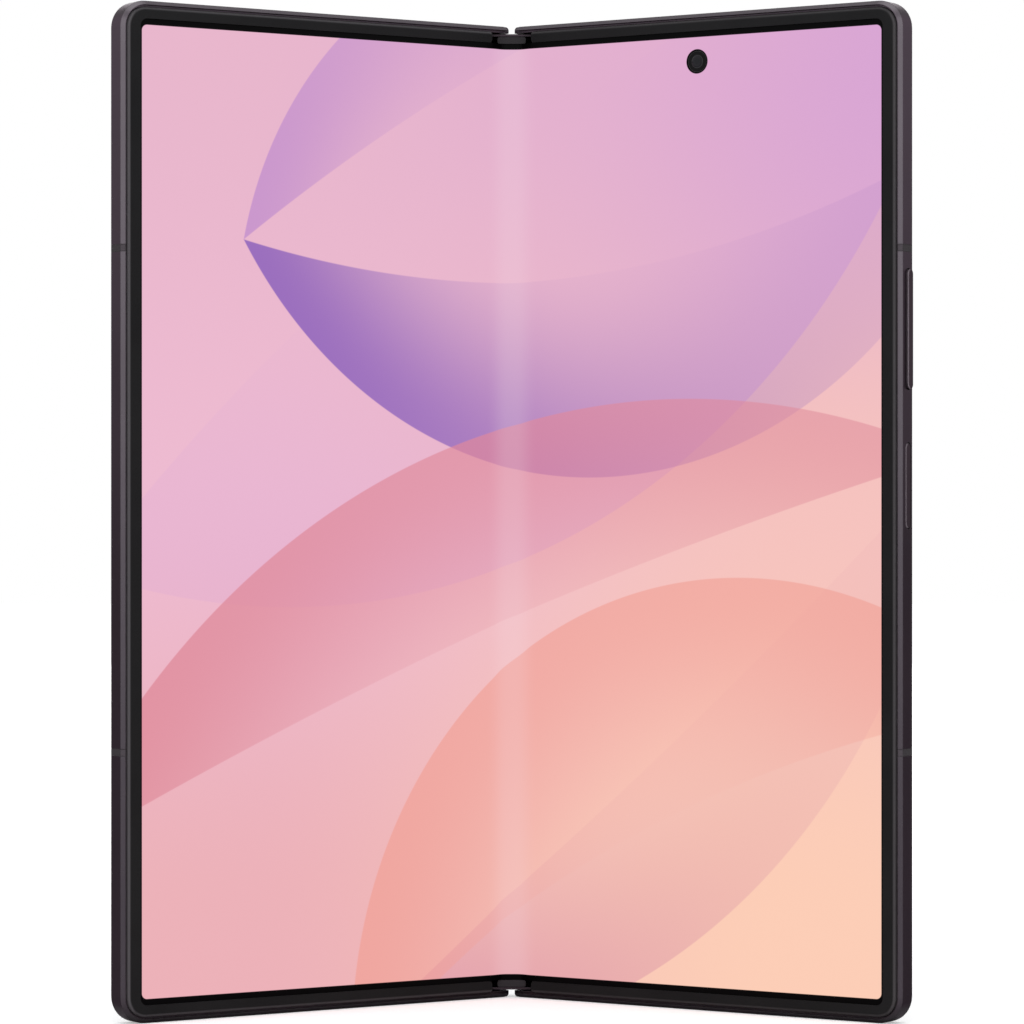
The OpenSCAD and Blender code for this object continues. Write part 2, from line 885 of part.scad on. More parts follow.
module frame_blank() {
    difference() {
        union() {
            edge_sweep(rim_start)
            rail_section();
            // middle plate, thinner beside the fold where the wing plate lies on it
            slab(mid_depth, plate_top)
            half_outline(wing_reach + play, rail_w - overlap);
            slab(mid_depth, support_bottom)
            translate([rim_start - 2 * overlap, rail_w - overlap])
            square([wing_reach - rim_start + 5 * overlap, body_h - 2 * (rail_w - overlap)]);
            // strip over the back of the spine, and the wall beside it
            along_h(end_wall - hair, body_h - end_wall + hair)
            translate([fold_split / 2, -half_t])
            square([hinge_wall - 0.8 - fold_split / 2, strip_t]);
            box(rim_start - 2 * overlap, rail_w - overlap, hinge_wall, body_h - rail_w + overlap,
                glass_seat, mid_depth - play);
            // bosses that the hinge brackets are screwed to
            both_ends()
            box(hinge_wall - overlap, hinge_h + track_0 - 1, boss_reach, hinge_h + track_1 + 0.6,
                boss_deep, mid_depth - play);
        }
        spine_sweep();
        both_ends() {
            // notch for the bracket's step
            box(0, hinge_h + track_0, rim_start - hair, hinge_h + track_1, bracket_n + hair, support_top);
            // window for the swing arm
            box(0, hinge_h + gear_0 - arm_room, hinge_wall + cut, hinge_h + gear_1 + arm_room,
                arm_n + arm_t / 2 + arm_room + hair, mid_depth);
            // window for the cable across the hinge
            box(0, flex_h - flex_room, hinge_wall + cut, flex_h + flex_w + flex_room, flex_deep, mid_depth);
            bracket_screw_space();
        }
    }
    end_walls();
}

// the bracket's strip lies deeper than the display's bend
bracket_n = axis_n + 1.335;
strip_h = 0.3;
strip_s = axis_x + tongue_r - 0.02;
step_s = bend_l - 0.15;
strip_turn = asin((bracket_n - strip_h / 2 - axis_n) / (tongue_r + tongue_t));

boss_deep = glass_seat - cover_display_t - 0.06;
bracket_screw_s = (hinge_wall + boss_reach) / 2 - 0.4;
bracket_screw_h = hinge_h + (track_0 + track_1) / 2;

module bracket_screw_space() {
    translate([bracket_screw_s, bracket_screw_h, -boss_deep - cut])
    cylinder(h = boss_deep + cut, r = screw_r + screw_gap);
    translate([bracket_screw_s, bracket_screw_h, -boss_deep - cut])
    cylinder(h = screw_head_t + cut + screw_gap, r = screw_head_r + screw_gap);
}

module bracket_screws() {
    both_ends() {
        translate([bracket_screw_s, bracket_screw_h, -boss_deep + 0.02])
        cylinder(h = screw_head_t - 0.02, r = screw_head_r);
        translate([bracket_screw_s, bracket_screw_h, -boss_deep + screw_head_t])
        cylinder(h = boss_deep - screw_head_t - support_top - 0.02, r = screw_r);
    }
}

// plate on the boss with the arc tongue that runs in the spine's track
module brackets() {
    both_ends()
    difference() {
        along_h(hinge_h + track_0 + hair, hinge_h + track_1 - hair) {
            // plate on the boss
            translate([step_s, -support_bottom])
            square([boss_reach - step_s, support_t]);
            // step down past the middle plate
            translate([step_s, -bracket_n])
            square([rim_start - 0.1 - step_s, bracket_n - support_top]);
            // strip to the tongue, clear of the bending display
            translate([strip_s, -bracket_n])
            square([step_s - strip_s + 0.1, strip_h]);
            translate([axis_x, -axis_n])
            ring_sector(tongue_r, tongue_r + tongue_t, -tongue_turn, -strip_turn);
        }
        translate([bracket_screw_s, bracket_screw_h, -half_t])
        cylinder(h = half_t, r = screw_r + screw_gap);
    }
}

// plate under the display beside the fold, cut out round the brackets
module wing_plate() {
    difference() {
        box(bend_l + 0.1, fold_low, wing_reach, body_h - fold_low, support_bottom, support_top);
        both_ends()
        box(0, hinge_h + track_0 - play, boss_reach + 0.4, hinge_h + track_1 + play, half_t, 0);
    }
}

// rim that holds the display's edge, with its outer edge rounded
module rim() {
    rim_out = chamfer_w + groove_w;
    band = rail_w;
    difference() {
        union() {
            edge_sweep(rim_start)
            difference() {
                translate([rim_out, -groove_d])
                square([band - rim_out, groove_d + rim_rise]);
                difference() {
                    translate([rim_out - cut, rim_rise - rim_r])
                    square([rim_r + cut, rim_r + cut]);
                    translate([rim_out + rim_r, rim_rise - rim_r])
                    circle(rim_r);
                }
            }
            slab(groove_d, -rim_rise)
            half_outline(rim_start, band);
        }
        // opening over the display
        slab(half_t, -half_t)
        translate([-far, 0])
        rounded(0, end_band, half_w - side_band + far, body_h - end_band, opening_r);
        // room for the display's edge
        slab(half_t, -0.04)
        translate([-far, 0])
        rounded(0, display_low - hair, display_out + hair + far, body_h - display_low + hair, display_r);
        both_ends()
        rim_end_round();
    }
}

// rounds the rim's two ends beside the fold
module rim_end_round() {
    rim_out = chamfer_w + groove_w;
    slab(half_t, -half_t)
    difference() {
        translate([rim_start - cut, rim_out - cut])
        square([end_r + cut, end_band - rim_out + 2 * cut]);
        rounded(rim_start, rim_out, rim_start + 4 * end_r, end_band, end_r);
        translate([rim_start + end_r, rim_out])
        square([end_r, end_band - rim_out]);
    }
}

// flat part of the folding display
module display_panel() {
    slab(display_t, 0)
    difference() {
        translate([-far, 0])
        rounded(0, display_low, display_out + far, body_h - display_low, display_r);
        translate([-2 * far, -far])
        square([2 * far + rim_start, body_h + 2 * far]);
    }
}

module insert_slots() {
    for (h = [insert_low, insert_high])
        box(half_w - rail_w, h - insert_w / 2, half_w + cut, h + insert_w / 2, half_t + cut, -half_t);
}

module antenna_inserts() {
    for (h = [insert_low, insert_high])
        along_h(h - insert_w / 2 + 0.02, h + insert_w / 2 - 0.02)
        translate([half_w, 0])
        mirror([1, 0])
        intersection() {
            rail_section();
            translate([0, -far])
            square([rail_w - 0.02, 2 * far]);
        }
}

magnet_out = half_w - rail_w - 0.3;
module magnets() {
    for (h = [cell_low + 1, cell_low + 16])
        box(magnet_out - magnet_t, h, magnet_out, h + magnet_l,
            glass_seat - cover_display_t - 0.25, mid_depth + 0.02);
}

// ---------- left half ----------

module left_frame() {
    color(metal)
    in_left()
    difference() {
        frame_blank();
        insert_slots();
        // slot for the card tray
        tray_slot(tray_gap, body_h - rail_w - cut, body_h + cut);
        // eject pin hole beside the tray
        translate([tray_s + tray_w / 2 + 2.2, body_h - 1.4, -tray_n])
        rotate([-90, 0, 0])
        cylinder(h = 1.4 + cut, r = 0.4);
        // slot of the upper loudspeaker
        speaker_slots(speaker_s, body_h - rail_w - cut);
    }
}

module tray_slot(gap, h0, h1) {
    translate([tray_s, 0, -tray_n])
    along_h(h0, h1)
    stadium(tray_w + 2 * gap, tray_face_t + 2 * gap);
}

speaker_s = 50;
SPEAKER_SLOTS = 5;
module speaker_slots(s, h) {
    for (i = [0 : SPEAKER_SLOTS - 1])
        translate([s + (i - (SPEAKER_SLOTS - 1) / 2) * slot_pitch, 0, -tray_n])
        along_h(h, h + rail_w + 2 * cut)
        stadium(slot_l, slot_w);
}

carrier_w = tray_w - 2;
carrier_rim = 1.2;
slot_pitch = 2.6;
slot_l = 1.7;
slot_w = 0.8;
module sim_tray() {
    color(metal)
    in_left() {
        tray_slot(0, body_h - rail_w, body_h - 0.02);
        difference() {
            box(tray_s - carrier_w / 2, body_h - tray_l, tray_s + carrier_w / 2, body_h - rail_w + 0.1,
                tray_n + carrier_t / 2, tray_n - carrier_t / 2);
            slab(half_t, 0)
            rounded(tray_s - carrier_w / 2 + carrier_rim, body_h - tray_l + carrier_rim,
                tray_s + carrier_w / 2 - carrier_rim, body_h - rail_w - 1.6, 0.6);
        }
    }
}

module sim_reader() {
    wall = 0.35;
    color(steel)
    in_left()
    difference() {
        box(tray_s - carrier_w / 2 - tray_gap - wall, body_h - tray_l - 1,
            tray_s + carrier_w / 2 + tray_gap + wall, body_h - rail_w - play,
            tray_n + carrier_t / 2 + tray_gap + wall, tray_n - carrier_t / 2 - tray_gap - 0.2);
        box(tray_s - carrier_w / 2 - tray_gap, body_h - tray_l - 0.3,
            tray_s + carrier_w / 2 + tray_gap, body_h,
            tray_n + carrier_t / 2 + tray_gap, tray_n - carrier_t / 2 - tray_gap);
    }
}

module left_rim() {
    color(dark)
    in_left()
    rim();
}

module left_display() {
    color(black)
    in_left()
    display_panel();
}

module left_wing_plate() {
    color(steel)
    in_left()
    wing_plate();
}

module left_brackets() {
    color(steel)
    in_left()
    brackets();
}

module left_antenna_inserts() {
    color("#4a4549")
    in_left()
    antenna_inserts();
}

module left_magnets() {
    color("#b8b8bc")
    in_left()
    magnets();
}

cell_out = half_w - cell_side;
inner_top = mid_depth + 0.03;
cover_inner = glass_seat - cover_display_t - seat;

module left_battery() {
    color("#2b2f36")
    in_left()
    slab(cover_inner, inner_top)
    rounded(cell_s, cell_low, cell_out, left_cell_high, 1.5);
}

module left_board() {
    color(board_green)
    in_left()
    difference() {
        slab(mid_depth + board_gap + board_t, mid_depth + board_gap)
        union() {
            rounded(tray_s + 10, left_cell_high + 1, cell_out, body_h - 14, 1);
            rounded(cell_s, cell_low - 18, cell_out, cell_low - 1, 1);
        }
        for (p = left_screw_places)
            translate([p[0], p[1], -half_t])
            cylinder(h = half_t, r = screw_r + screw_gap);
    }
}

left_screw_places = [[tray_s + 13, left_cell_high + 4], [half_w - 10, left_cell_high + 4],
    [cell_s + 3, cell_low - 9], [half_w - 10, cell_low - 9]];
right_screw_places = [[cell_s + 2.5, right_cell_high + 12], [cell_s + 2.5, body_h - 16],
    [cell_s + 3, cell_low - 9], [cell_s + 26, cell_low - 9]];

// screws that hold a board against the middle plate
module board_screws(places) {
    head_n = mid_depth + board_gap + board_t;
    for (p = places) {
        translate([p[0], p[1], -head_n - screw_head_t])
        cylinder(h = screw_head_t - 0.01, r = screw_head_r);
        translate([p[0], p[1], -head_n - 0.01])
        cylinder(h = head_n - mid_depth - 0.02, r = screw_r);
    }
}

module left_screws() {
    color("#c9cacc")
    in_left() {
        bracket_screws();
        board_screws(left_screw_places);
    }
}

// outline of the glass on the back of a half
module glass_outline() {
    d = glass_inset + glass_gap;
    s0 = hinge_wall - 0.8 + glass_gap;
    rounded(s0, d, half_w - d, body_h - d, corner_r - d);
}

cover_camera_s = speaker_s - 12.2;
cover_camera_h = body_h - 7.8;

module cover_glass() {
    color(black)
    in_left()
    slab(half_t, glass_top)
    glass_outline();
}

module cover_display() {
    edge = 0.2;
    color(black)
    in_left()
    difference() {
        slab(glass_top - 0.01, glass_top - cover_display_t)
        rounded(hinge_wall + edge, rail_w + edge,
            half_w - rail_w - edge, body_h - rail_w - edge, corner_r - rail_w);
        translate([cover_camera_s, cover_camera_h, -half_t])
        cylinder(h = half_t, r = punch_r);
    }
}

module cover_camera() {
    block = 2.6;
    color(black)
    in_left() {
        translate([cover_camera_s, cover_camera_h, -glass_top + 0.02])
        cylinder(h = 1, r = punch_r - 0.2);
        box(cover_camera_s - block, cover_camera_h - block, cover_camera_s + block, cover_camera_h + block,
            cover_inner, inner_top);
    }
}

top_speaker_w = 14;
top_speaker_d = 5;

module top_speaker() {
    color("#1d1d1f")
    in_left()
    box(speaker_s - top_speaker_w / 2, body_h - rail_w - top_speaker_d,
        speaker_s + top_speaker_w / 2, body_h - rail_w - seat,
        cover_inner, inner_top);
}

// ---------- right half ----------

module key_slot(h, l, w, s0, s1) {
    translate([0, h, -key_n])
    along_s(s0, s1)
    stadium(l, w);
}

key_in = half_w - rail_w;

module right_frame() {
    color(metal)
    in_right() {
        difference() {
            frame_blank();
            insert_slots();
            for (key = [[volume_h, volume_l], [side_key_h, side_key_l]])
                key_slot(key[0], key[1] + 2 * key_gap, key_w + 2 * key_gap, key_in - cut, half_w + cut);
            port_space();
            speaker_slots(speaker_s + 8, -cut);
            // microphone hole
            translate([port_s - 9, -cut, -tray_n])
            rotate([-90, 0, 0])
            cylinder(h = rail_w + 2 * cut, r = 0.45);
            // opening for the camera behind the display
            translate([punch_s, body_h - punch_drop, -half_t])
            cylinder(h = half_t, r = punch_r);
        }
        // rib that the key switches stand on
        box(switch_in - 0.6, strip_low - 0.5, switch_in, strip_high + 0.5, cover_inner, mid_depth - hair);
    }
}

port_n = glass_top - 0.02 - port_shell - port_open / 2;
module port_space() {
    seal = 0.02;
    translate([port_s, 0, -port_n])
    along_h(-cut, rail_w + cut)
    stadium(port_w, port_open);
    translate([port_s, 0, -port_n])
    along_h(0.8, port_l + 2)
    stadium(port_w + 2 * (port_shell + seal), port_open + 2 * (port_shell + seal));
}

module usb_port() {
    tongue_w = 6.6;
    tongue_h = 0.7;
    color(steel)
    in_right() {
        difference() {
            translate([port_s, 0, -port_n])
            along_h(0.85, port_l + 1.2)
            stadium(port_w + 2 * port_shell, port_open + 2 * port_shell);
            translate([port_s, 0, -port_n])
            along_h(0, port_l)
            stadium(port_w, port_open);
        }
        // tongue with the contacts
        box(port_s - tongue_w / 2, 1.6, port_s + tongue_w / 2, port_l + overlap,
            port_n + tongue_h / 2, port_n - tongue_h / 2);
    }
}

module right_rim() {
    color(dark)
    in_right()
    rim();
}

module right_display() {
    color(black)
    in_right()
    difference() {
        display_panel();
        translate([punch_s, body_h - punch_drop, -half_t])
        cylinder(h = 2 * half_t, r = punch_r);
    }
}

module right_wing_plate() {
    color(steel)
    in_right()
    wing_plate();
}

module right_brackets() {
    color(steel)
    in_right()
    brackets();
}

module right_antenna_inserts() {
    color("#4a4549")
    in_right()
    antenna_inserts();
}

module right_magnets() {
    color("#b8b8bc")
    in_right()
    magnets();
}

module right_battery() {
    color("#2b2f36")
    in_right()
    slab(glass_seat - coil_t - 0.2, inner_top)
    rounded(cell_s, cell_low, cell_out, right_cell_high, 1.5);
}

board_out = lens_s - module_side / 2 - 0.6;

module mainboard() {
    color(board_green)
    in_right()
    difference() {
        slab(mid_depth + board_gap + board_t, mid_depth + board_gap)
        rounded(cell_s, right_cell_high + 3, board_out, body_h - 13, 1);
        for (p = right_screw_places)
            translate([p[0], p[1], -half_t])
            cylinder(h = half_t, r = screw_r + screw_gap);
    }
}

can_0 = mid_depth + board_gap + board_t;
module shield_cans() {
    can_s = cell_s + 5;
    can_split = right_cell_high + 26;
    color("#a9abae")
    in_right()
    slab(can_0 + can_h, can_0) {
        rounded(can_s, right_cell_high + 6, board_out - 2, can_split, 0.8);
        rounded(can_s, can_split + 3, board_out - 2, body_h - 17, 0.8);
    }
}

module sub_board() {
    color(board_green)
    in_right()
    difference() {
        slab(mid_depth + board_gap + board_t, mid_depth + board_gap)
        rounded(cell_s, port_l + 2.4, speaker_s - 2, cell_low - 1, 1);
        for (p = right_screw_places)
            translate([p[0], p[1], -half_t])
            cylinder(h = half_t, r = screw_r + screw_gap);
    }
}

module right_screws() {
    color("#c9cacc")
    in_right() {
        bracket_screws();
        board_screws(right_screw_places);
    }
}

deck_mid_h = body_h - deck_drop - deck_l / 2;

module at_lenses() {
    for (i = [-1 : 1])
        translate([lens_s, deck_mid_h + i * lens_pitch, 0])
        children();
}

flash_s = lens_s - deck_w / 2 - 5;
flash_h = deck_mid_h + lens_pitch;

module rear_glass() {
    color("#2c282d")
    in_right()
    difference() {
        slab(half_t, glass_top)
        glass_outline();
        at_lenses()
        translate([0, 0, -half_t - cut])
        cylinder(h = 1, r = barrel_r + 0.3);
        translate([flash_s, flash_h, -half_t - cut])
        cylinder(h = 1, r = flash_r + 0.06);
    }
}

deck_back = half_t + 0.01 + deck_t;
module camera_deck() {
    color("#3c373c")
    in_right()
    difference() {
        slab(deck_back, half_t + 0.01)
        translate([lens_s, deck_mid_h])
        rotate(90)
        stadium(deck_l, deck_w);
        at_lenses()
        translate([0, 0, -deck_back - cut])
        cylinder(h = deck_t + 2 * cut, r = barrel_r + 0.3);
    }
}

module lens_rings() {
    color(metal)
    in_right()
    at_lenses()
    translate([0, 0, -deck_back - ring_rise])
    difference() {
        cylinder(h = ring_rise - 0.01, r = ring_r);
        translate([0, 0, -cut])
        cylinder(h = ring_rise + 2 * cut, r = barrel_r + 0.4);
        translate([0, 0, -cut])
        cylinder(h = ring_rise * 0.6 + cut, r = lens_r + 0.04);
    }
}

module lens_glasses() {
    color("#0c0d12")
    in_right()
    at_lenses()
    translate([0, 0, -deck_back - ring_rise + 0.08])
    cylinder(h = ring_rise * 0.6 - 0.1, r = lens_r);
}

module camera_modules() {
    color("#1b1b1e")
    in_right()
    at_lenses() {
        box(-module_side / 2, -module_side / 2, module_side / 2, module_side / 2, glass_seat, inner_top);
        translate([0, 0, -deck_back - ring_rise * 0.35])
        cylinder(h = deck_t + 1, r = barrel_r);
    }
}

module flash_lens() {
    color("#e6dfc8")
    in_right()
    translate([flash_s, flash_h, -half_t + 0.02])
    cylinder(h = glass_t + 0.08, r = flash_r);
}

module selfie_camera() {
    block = 2.8;
    barrel_gap = 0.15;
    color(black)
    in_right() {
        translate([punch_s, body_h - punch_drop, -mid_depth - 0.5])
        cylinder(h = mid_depth + 0.5 - 0.08, r = punch_r - barrel_gap);
        box(punch_s - block, body_h - punch_drop - block, punch_s + block, body_h - punch_drop + block,
            can_0 + 0.9, inner_top);
    }
}

module wireless_coil() {
    color("#b5722a")
    in_right()
    slab(glass_seat - 0.02, glass_seat - 0.02 - coil_t)
    translate([(cell_s + cell_out) / 2, (cell_low + right_cell_high) / 2])
    difference() {
        circle(coil_r);
        circle(coil_inner_r);
    }
}

speaker_right = half_w - rail_w - 2.5;
module loudspeaker() {
    color("#1d1d1f")
    in_right()
    box(speaker_s, rail_w + seat, speaker_right, cell_low - 12, glass_seat - seat, inner_top);
}

module haptic_motor() {
    color("#9c9ea2")
    in_right()
    box(speaker_s, cell_low - 11, speaker_right, cell_low - 2, glass_seat - seat, inner_top);
}

flange_out = key_in - key_travel;
switch_out = flange_out - flange_t - key_travel - 0.1;
switch_in = switch_out - 0.7;
strip_low = side_key_h - 8.5;
strip_high = volume_h + 10.5;

module key_switches() {
    color("#c98f3d")
    in_right() {
        box(switch_in + 0.01, strip_low, switch_in + 0.35, strip_high, cover_inner - hair, inner_top);
        for (h = [side_key_h, volume_h - volume_l / 3, volume_h + volume_l / 3])
            translate([switch_in + 0.3, h, -key_n])
            rotate([0, 90, 0])
            cylinder(h = switch_out - switch_in - 0.3, r = 0.8);
    }
}

module key(h, l, rise) {
    key_slot(h, l, key_w, flange_out - 0.1, half_w + rise);
    translate([0, h, -key_n])
    along_s(flange_out - flange_t, flange_out)
    stadium(l + 2 * flange_lap, key_w + 0.25);
}

module volume_key() {
    color("#4a4048")
    in_right()
    key(volume_h, volume_l, volume_rise);
}

module side_key() {
    color("#4a4048")
    in_right()
    key(side_key_h, side_key_l, -side_key_sink);
}

spine_cover();
hinge_bases();
detent_followers();
detent_springs();
spine_screws();
fold_plate();
fold_caps();
display_fold();
hinge_flex();
left_sync_arms();
right_sync_arms();
left_idlers();
right_idlers();
left_frame();
left_rim();
left_display();
left_wing_plate();
left_brackets();
left_antenna_inserts();
left_magnets();
left_battery();
left_board();
left_screws();
cover_glass();
cover_display();
cover_camera();
top_speaker();
sim_reader();
sim_tray();
right_frame();
right_rim();
right_display();
right_wing_plate();
right_brackets();
right_antenna_inserts();
right_magnets();
right_battery();
mainboard();
shield_cans();
sub_board();
right_screws();
rear_glass();
camera_deck();
lens_rings();
lens_glasses();
camera_modules();
flash_lens();
selfie_camera();
wireless_coil();
usb_port();
loudspeaker();
haptic_motor();
key_switches();
volume_key();
side_key();
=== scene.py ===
"""Looks of a folding smartphone that stands half open like a book.

Lengths of the phone are written in millimetres and turned into metres where a mesh is made.
A half is drawn flat: s runs out from the fold, h up the phone and n out of the display.
"""

import math

import bpy
import bmesh
from mathutils import Matrix, Vector, geometry


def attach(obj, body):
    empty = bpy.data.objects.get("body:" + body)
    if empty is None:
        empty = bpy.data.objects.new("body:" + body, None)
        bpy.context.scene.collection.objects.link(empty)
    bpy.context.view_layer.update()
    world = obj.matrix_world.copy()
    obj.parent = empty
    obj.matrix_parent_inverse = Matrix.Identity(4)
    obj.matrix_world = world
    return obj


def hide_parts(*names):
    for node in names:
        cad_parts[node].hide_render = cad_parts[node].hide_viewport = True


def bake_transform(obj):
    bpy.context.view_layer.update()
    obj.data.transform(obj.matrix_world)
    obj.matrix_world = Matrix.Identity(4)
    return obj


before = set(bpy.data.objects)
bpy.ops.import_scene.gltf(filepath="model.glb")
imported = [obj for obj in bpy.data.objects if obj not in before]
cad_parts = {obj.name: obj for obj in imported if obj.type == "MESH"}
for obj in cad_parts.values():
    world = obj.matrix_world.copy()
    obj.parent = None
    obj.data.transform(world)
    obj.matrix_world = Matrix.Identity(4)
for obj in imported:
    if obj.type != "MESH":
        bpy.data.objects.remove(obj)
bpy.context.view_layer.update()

MM = 0.001

# ---------- sizes of the phone, as built ----------
BODY_H = 158.4
AXIS_X = 0.815
AXIS_N = 0.165
FOLD = math.radians(32.8)
FOLD_Y = 17.2919
RIM_START = 3.95
BEND_L = 3.6
DISPLAY_LOW = 2.1
DISPLAY_OUT = 69.2
DISPLAY_R = 1.8
FOLD_LOW = 2.85
SHEET_T = 0.3
PUNCH_S = 35.0
PUNCH_H = 150.8
PUNCH_R = 1.85
LENS_S = 57.0
DECK_MID_H = 119.4
LENS_PITCH = 20.0
DECK_BACK = 5.31
RING_RISE = 0.9
COVER_MID = 37.2
COVER_W = 62.6
COVER_H = 151.6
COVER_R = 2.2
COVER_CAMERA = (37.8, 150.6)
PORT_S = 35.8
PORT_N = 2.0

SIDES = {1: "right", -1: "left"}


# ---------- placing ----------

def placed(s, h, n, side, share=1.0):
    """World point of (s, h, n) on the right (side 1) or left (side -1), turned by that share of the fold."""
    a = FOLD * share
    x, z = s - AXIS_X, n + AXIS_N
    across = AXIS_X + x * math.cos(a) - z * math.sin(a)
    out = -AXIS_N + x * math.sin(a) + z * math.cos(a)
    return Vector((side * across, FOLD_Y - out, h)) * MM


def half_matrix(side):
    """Takes (s, h, n) in millimetres to the world in metres."""
    o = placed(0, 0, 0, side)
    cols = [(placed(*axis, side) - o) for axis in ((1, 0, 0), (0, 1, 0), (0, 0, 1))]
    m = Matrix.Identity(4)
    for i, c in enumerate(cols):
        for k in range(3):
            m[k][i] = c[k]
    m.translation = o
    return m


def facing(side):
    """The way that the display of a half faces."""
    return (-side * math.sin(FOLD), -math.cos(FOLD), 0.0)


def outward(side):
    """The way from the fold to the outer edge of a half."""
    return (side * math.cos(FOLD), -math.sin(FOLD), 0.0)


UP = (0.0, 0.0, 1.0)


# ---------- shader helpers ----------

# half the width of the soft edge of a printed area, in millimetres
EDGE_SOFT = 0.05


class Shade:
    """Builds the node tree of one material."""

    def __init__(self, name):
        self.mat = bpy.data.materials.new(name)
        self.mat.use_nodes = True
        self.tree = self.mat.node_tree
        self.bsdf = self.tree.nodes["Principled BSDF"]

    def node(self, kind, **props):
        n = self.tree.nodes.new(kind)
        for k, v in props.items():
            setattr(n, k, v)
        return n

    def link(self, a, b):
        self.tree.links.new(a, b)

    def put(self, socket, value):
        if isinstance(value, bpy.types.NodeSocket):
            self.link(value, socket)
        else:
            socket.default_value = value

    def math(self, op, a, b=0.0, clamp=False):
        n = self.node("ShaderNodeMath", operation=op, use_clamp=clamp)
        self.put(n.inputs[0], a)
        self.put(n.inputs[1], b)
        return n.outputs[0]

    def hypot(self, a, b):
        return self.math("SQRT", self.math("ADD", self.math("POWER", a, 2.0), self.math("POWER", b, 2.0)))

    def ramp(self, value, low, high, to_low=0.0, to_high=1.0, smooth=True):
        """Takes low..high to to_low..to_high and holds the ends."""
        n = self.node("ShaderNodeMapRange", clamp=True)
        n.interpolation_type = "SMOOTHSTEP" if smooth else "LINEAR"
        self.put(n.inputs["Value"], value)
        n.inputs["From Min"].default_value = low
        n.inputs["From Max"].default_value = high
        n.inputs["To Min"].default_value = to_low
        n.inputs["To Max"].default_value = to_high
        return n.outputs["Result"]

    def mix(self, share, a, b):
        """Colour a where the share is 0 and b where it is 1."""
        n = self.node("ShaderNodeMix", data_type="RGBA")
        self.put(n.inputs[0], share)
        self.put(n.inputs[6], a)
        self.put(n.inputs[7], b)
        return n.outputs[2]

    def coords(self, kind="Object"):
        return self.node("ShaderNodeTexCoord").outputs[kind]

    def noise(self, scale, detail=4.0, rough=0.6, vector=None):
        n = self.node("ShaderNodeTexNoise")
        self.link(vector or self.coords(), n.inputs["Vector"])
        n.inputs["Scale"].default_value = scale
        n.inputs["Detail"].default_value = detail
        n.inputs["Roughness"].default_value = rough
        return n.outputs["Fac"]

    def dot(self, a, b):
        n = self.node("ShaderNodeVectorMath", operation="DOT_PRODUCT")
        self.put(n.inputs[0], a)
        self.put(n.inputs[1], b)
        return n.outputs["Value"]

    def rounding(self, radius):
        """World normal softened across the edges."""
        n = self.node("ShaderNodeBevel", samples=4)
        n.inputs["Radius"].default_value = radius
        return n.outputs[0]

    def in_object(self, normal):
        n = self.node("ShaderNodeVectorTransform", vector_type="NORMAL",
                      convert_from="WORLD", convert_to="OBJECT")
        self.link(normal, n.inputs[0])
        return n.outputs[0]

    def measured(self, node, axis):
        """Millimetres along an axis of the half that the node sits in, from the foot of the fold line."""
        side = 1 if node.startswith("right") else -1
        zero = placed(0, 0, 0, side)
        way = (placed(*axis, side) - zero) / MM / MM
        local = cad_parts[node].matrix_world.inverted()
        spin = local.to_3x3()
        gap = self.node("ShaderNodeVectorMath", operation="SUBTRACT")
        self.link(self.coords(), gap.inputs[0])
        gap.inputs[1].default_value = local @ zero
        return self.dot(gap.outputs[0], spin @ way)

    def rounded_box(self, x, y, middle, size, r):
        """1 inside a rectangle with rounded corners and 0 outside it."""
        px, py = [self.math("SUBTRACT", self.math("ABSOLUTE", self.math("SUBTRACT", v, m)), d / 2 - r)
                  for v, m, d in zip((x, y), middle, size)]
        corner = self.hypot(self.math("MAXIMUM", px, 0.0), self.math("MAXIMUM", py, 0.0))
        edge = self.math("ADD", corner, self.math("MINIMUM", self.math("MAXIMUM", px, py), 0.0))
        return self.disc(edge, r)

    def disc(self, distance, r):
        """1 within r and 0 outside it, with a soft edge."""
        return self.ramp(distance, r - EDGE_SOFT, r + EDGE_SOFT, 1.0, 0.0)

    def fed(self, name):
        """What now feeds that input of the shader."""
        return self.bsdf.inputs[name].links[0].from_socket

    def bump(self, height, strength, distance, normal=None):
        """Relief in the shader's normal. The distance is in metres."""
        n = self.node("ShaderNodeBump")
        if normal is not None:
            self.link(normal, n.inputs["Normal"])
        n.inputs["Strength"].default_value = strength
        n.inputs["Distance"].default_value = distance
        self.link(height, n.inputs["Height"])
        self.link(n.outputs[0], self.bsdf.inputs["Normal"])

    def set(self, **values):
        names = {"color": "Base Color", "rough": "Roughness", "metal": "Metallic",
                 "coat": "Coat Weight", "coat_rough": "Coat Roughness",
                 "spec": "Specular IOR Level", "spec_tint": "Specular Tint",
                 "glow": "Emission Color", "glow_strength": "Emission Strength"}
        for k, v in values.items():
            self.put(self.bsdf.inputs[names[k]], v)


def srgb(r, g, b):
    """Linear colour of an 8-bit one."""
    def lin(c):
        c /= 255
        return c / 12.92 if c <= 0.04045 else ((c + 0.055) / 1.055) ** 2.4
    return (lin(r), lin(g), lin(b), 1.0)


def scaled(color, share):
    """That share of a linear colour."""
    return tuple(c * share for c in color[:3]) + (1.0,)


# ---------- materials ----------

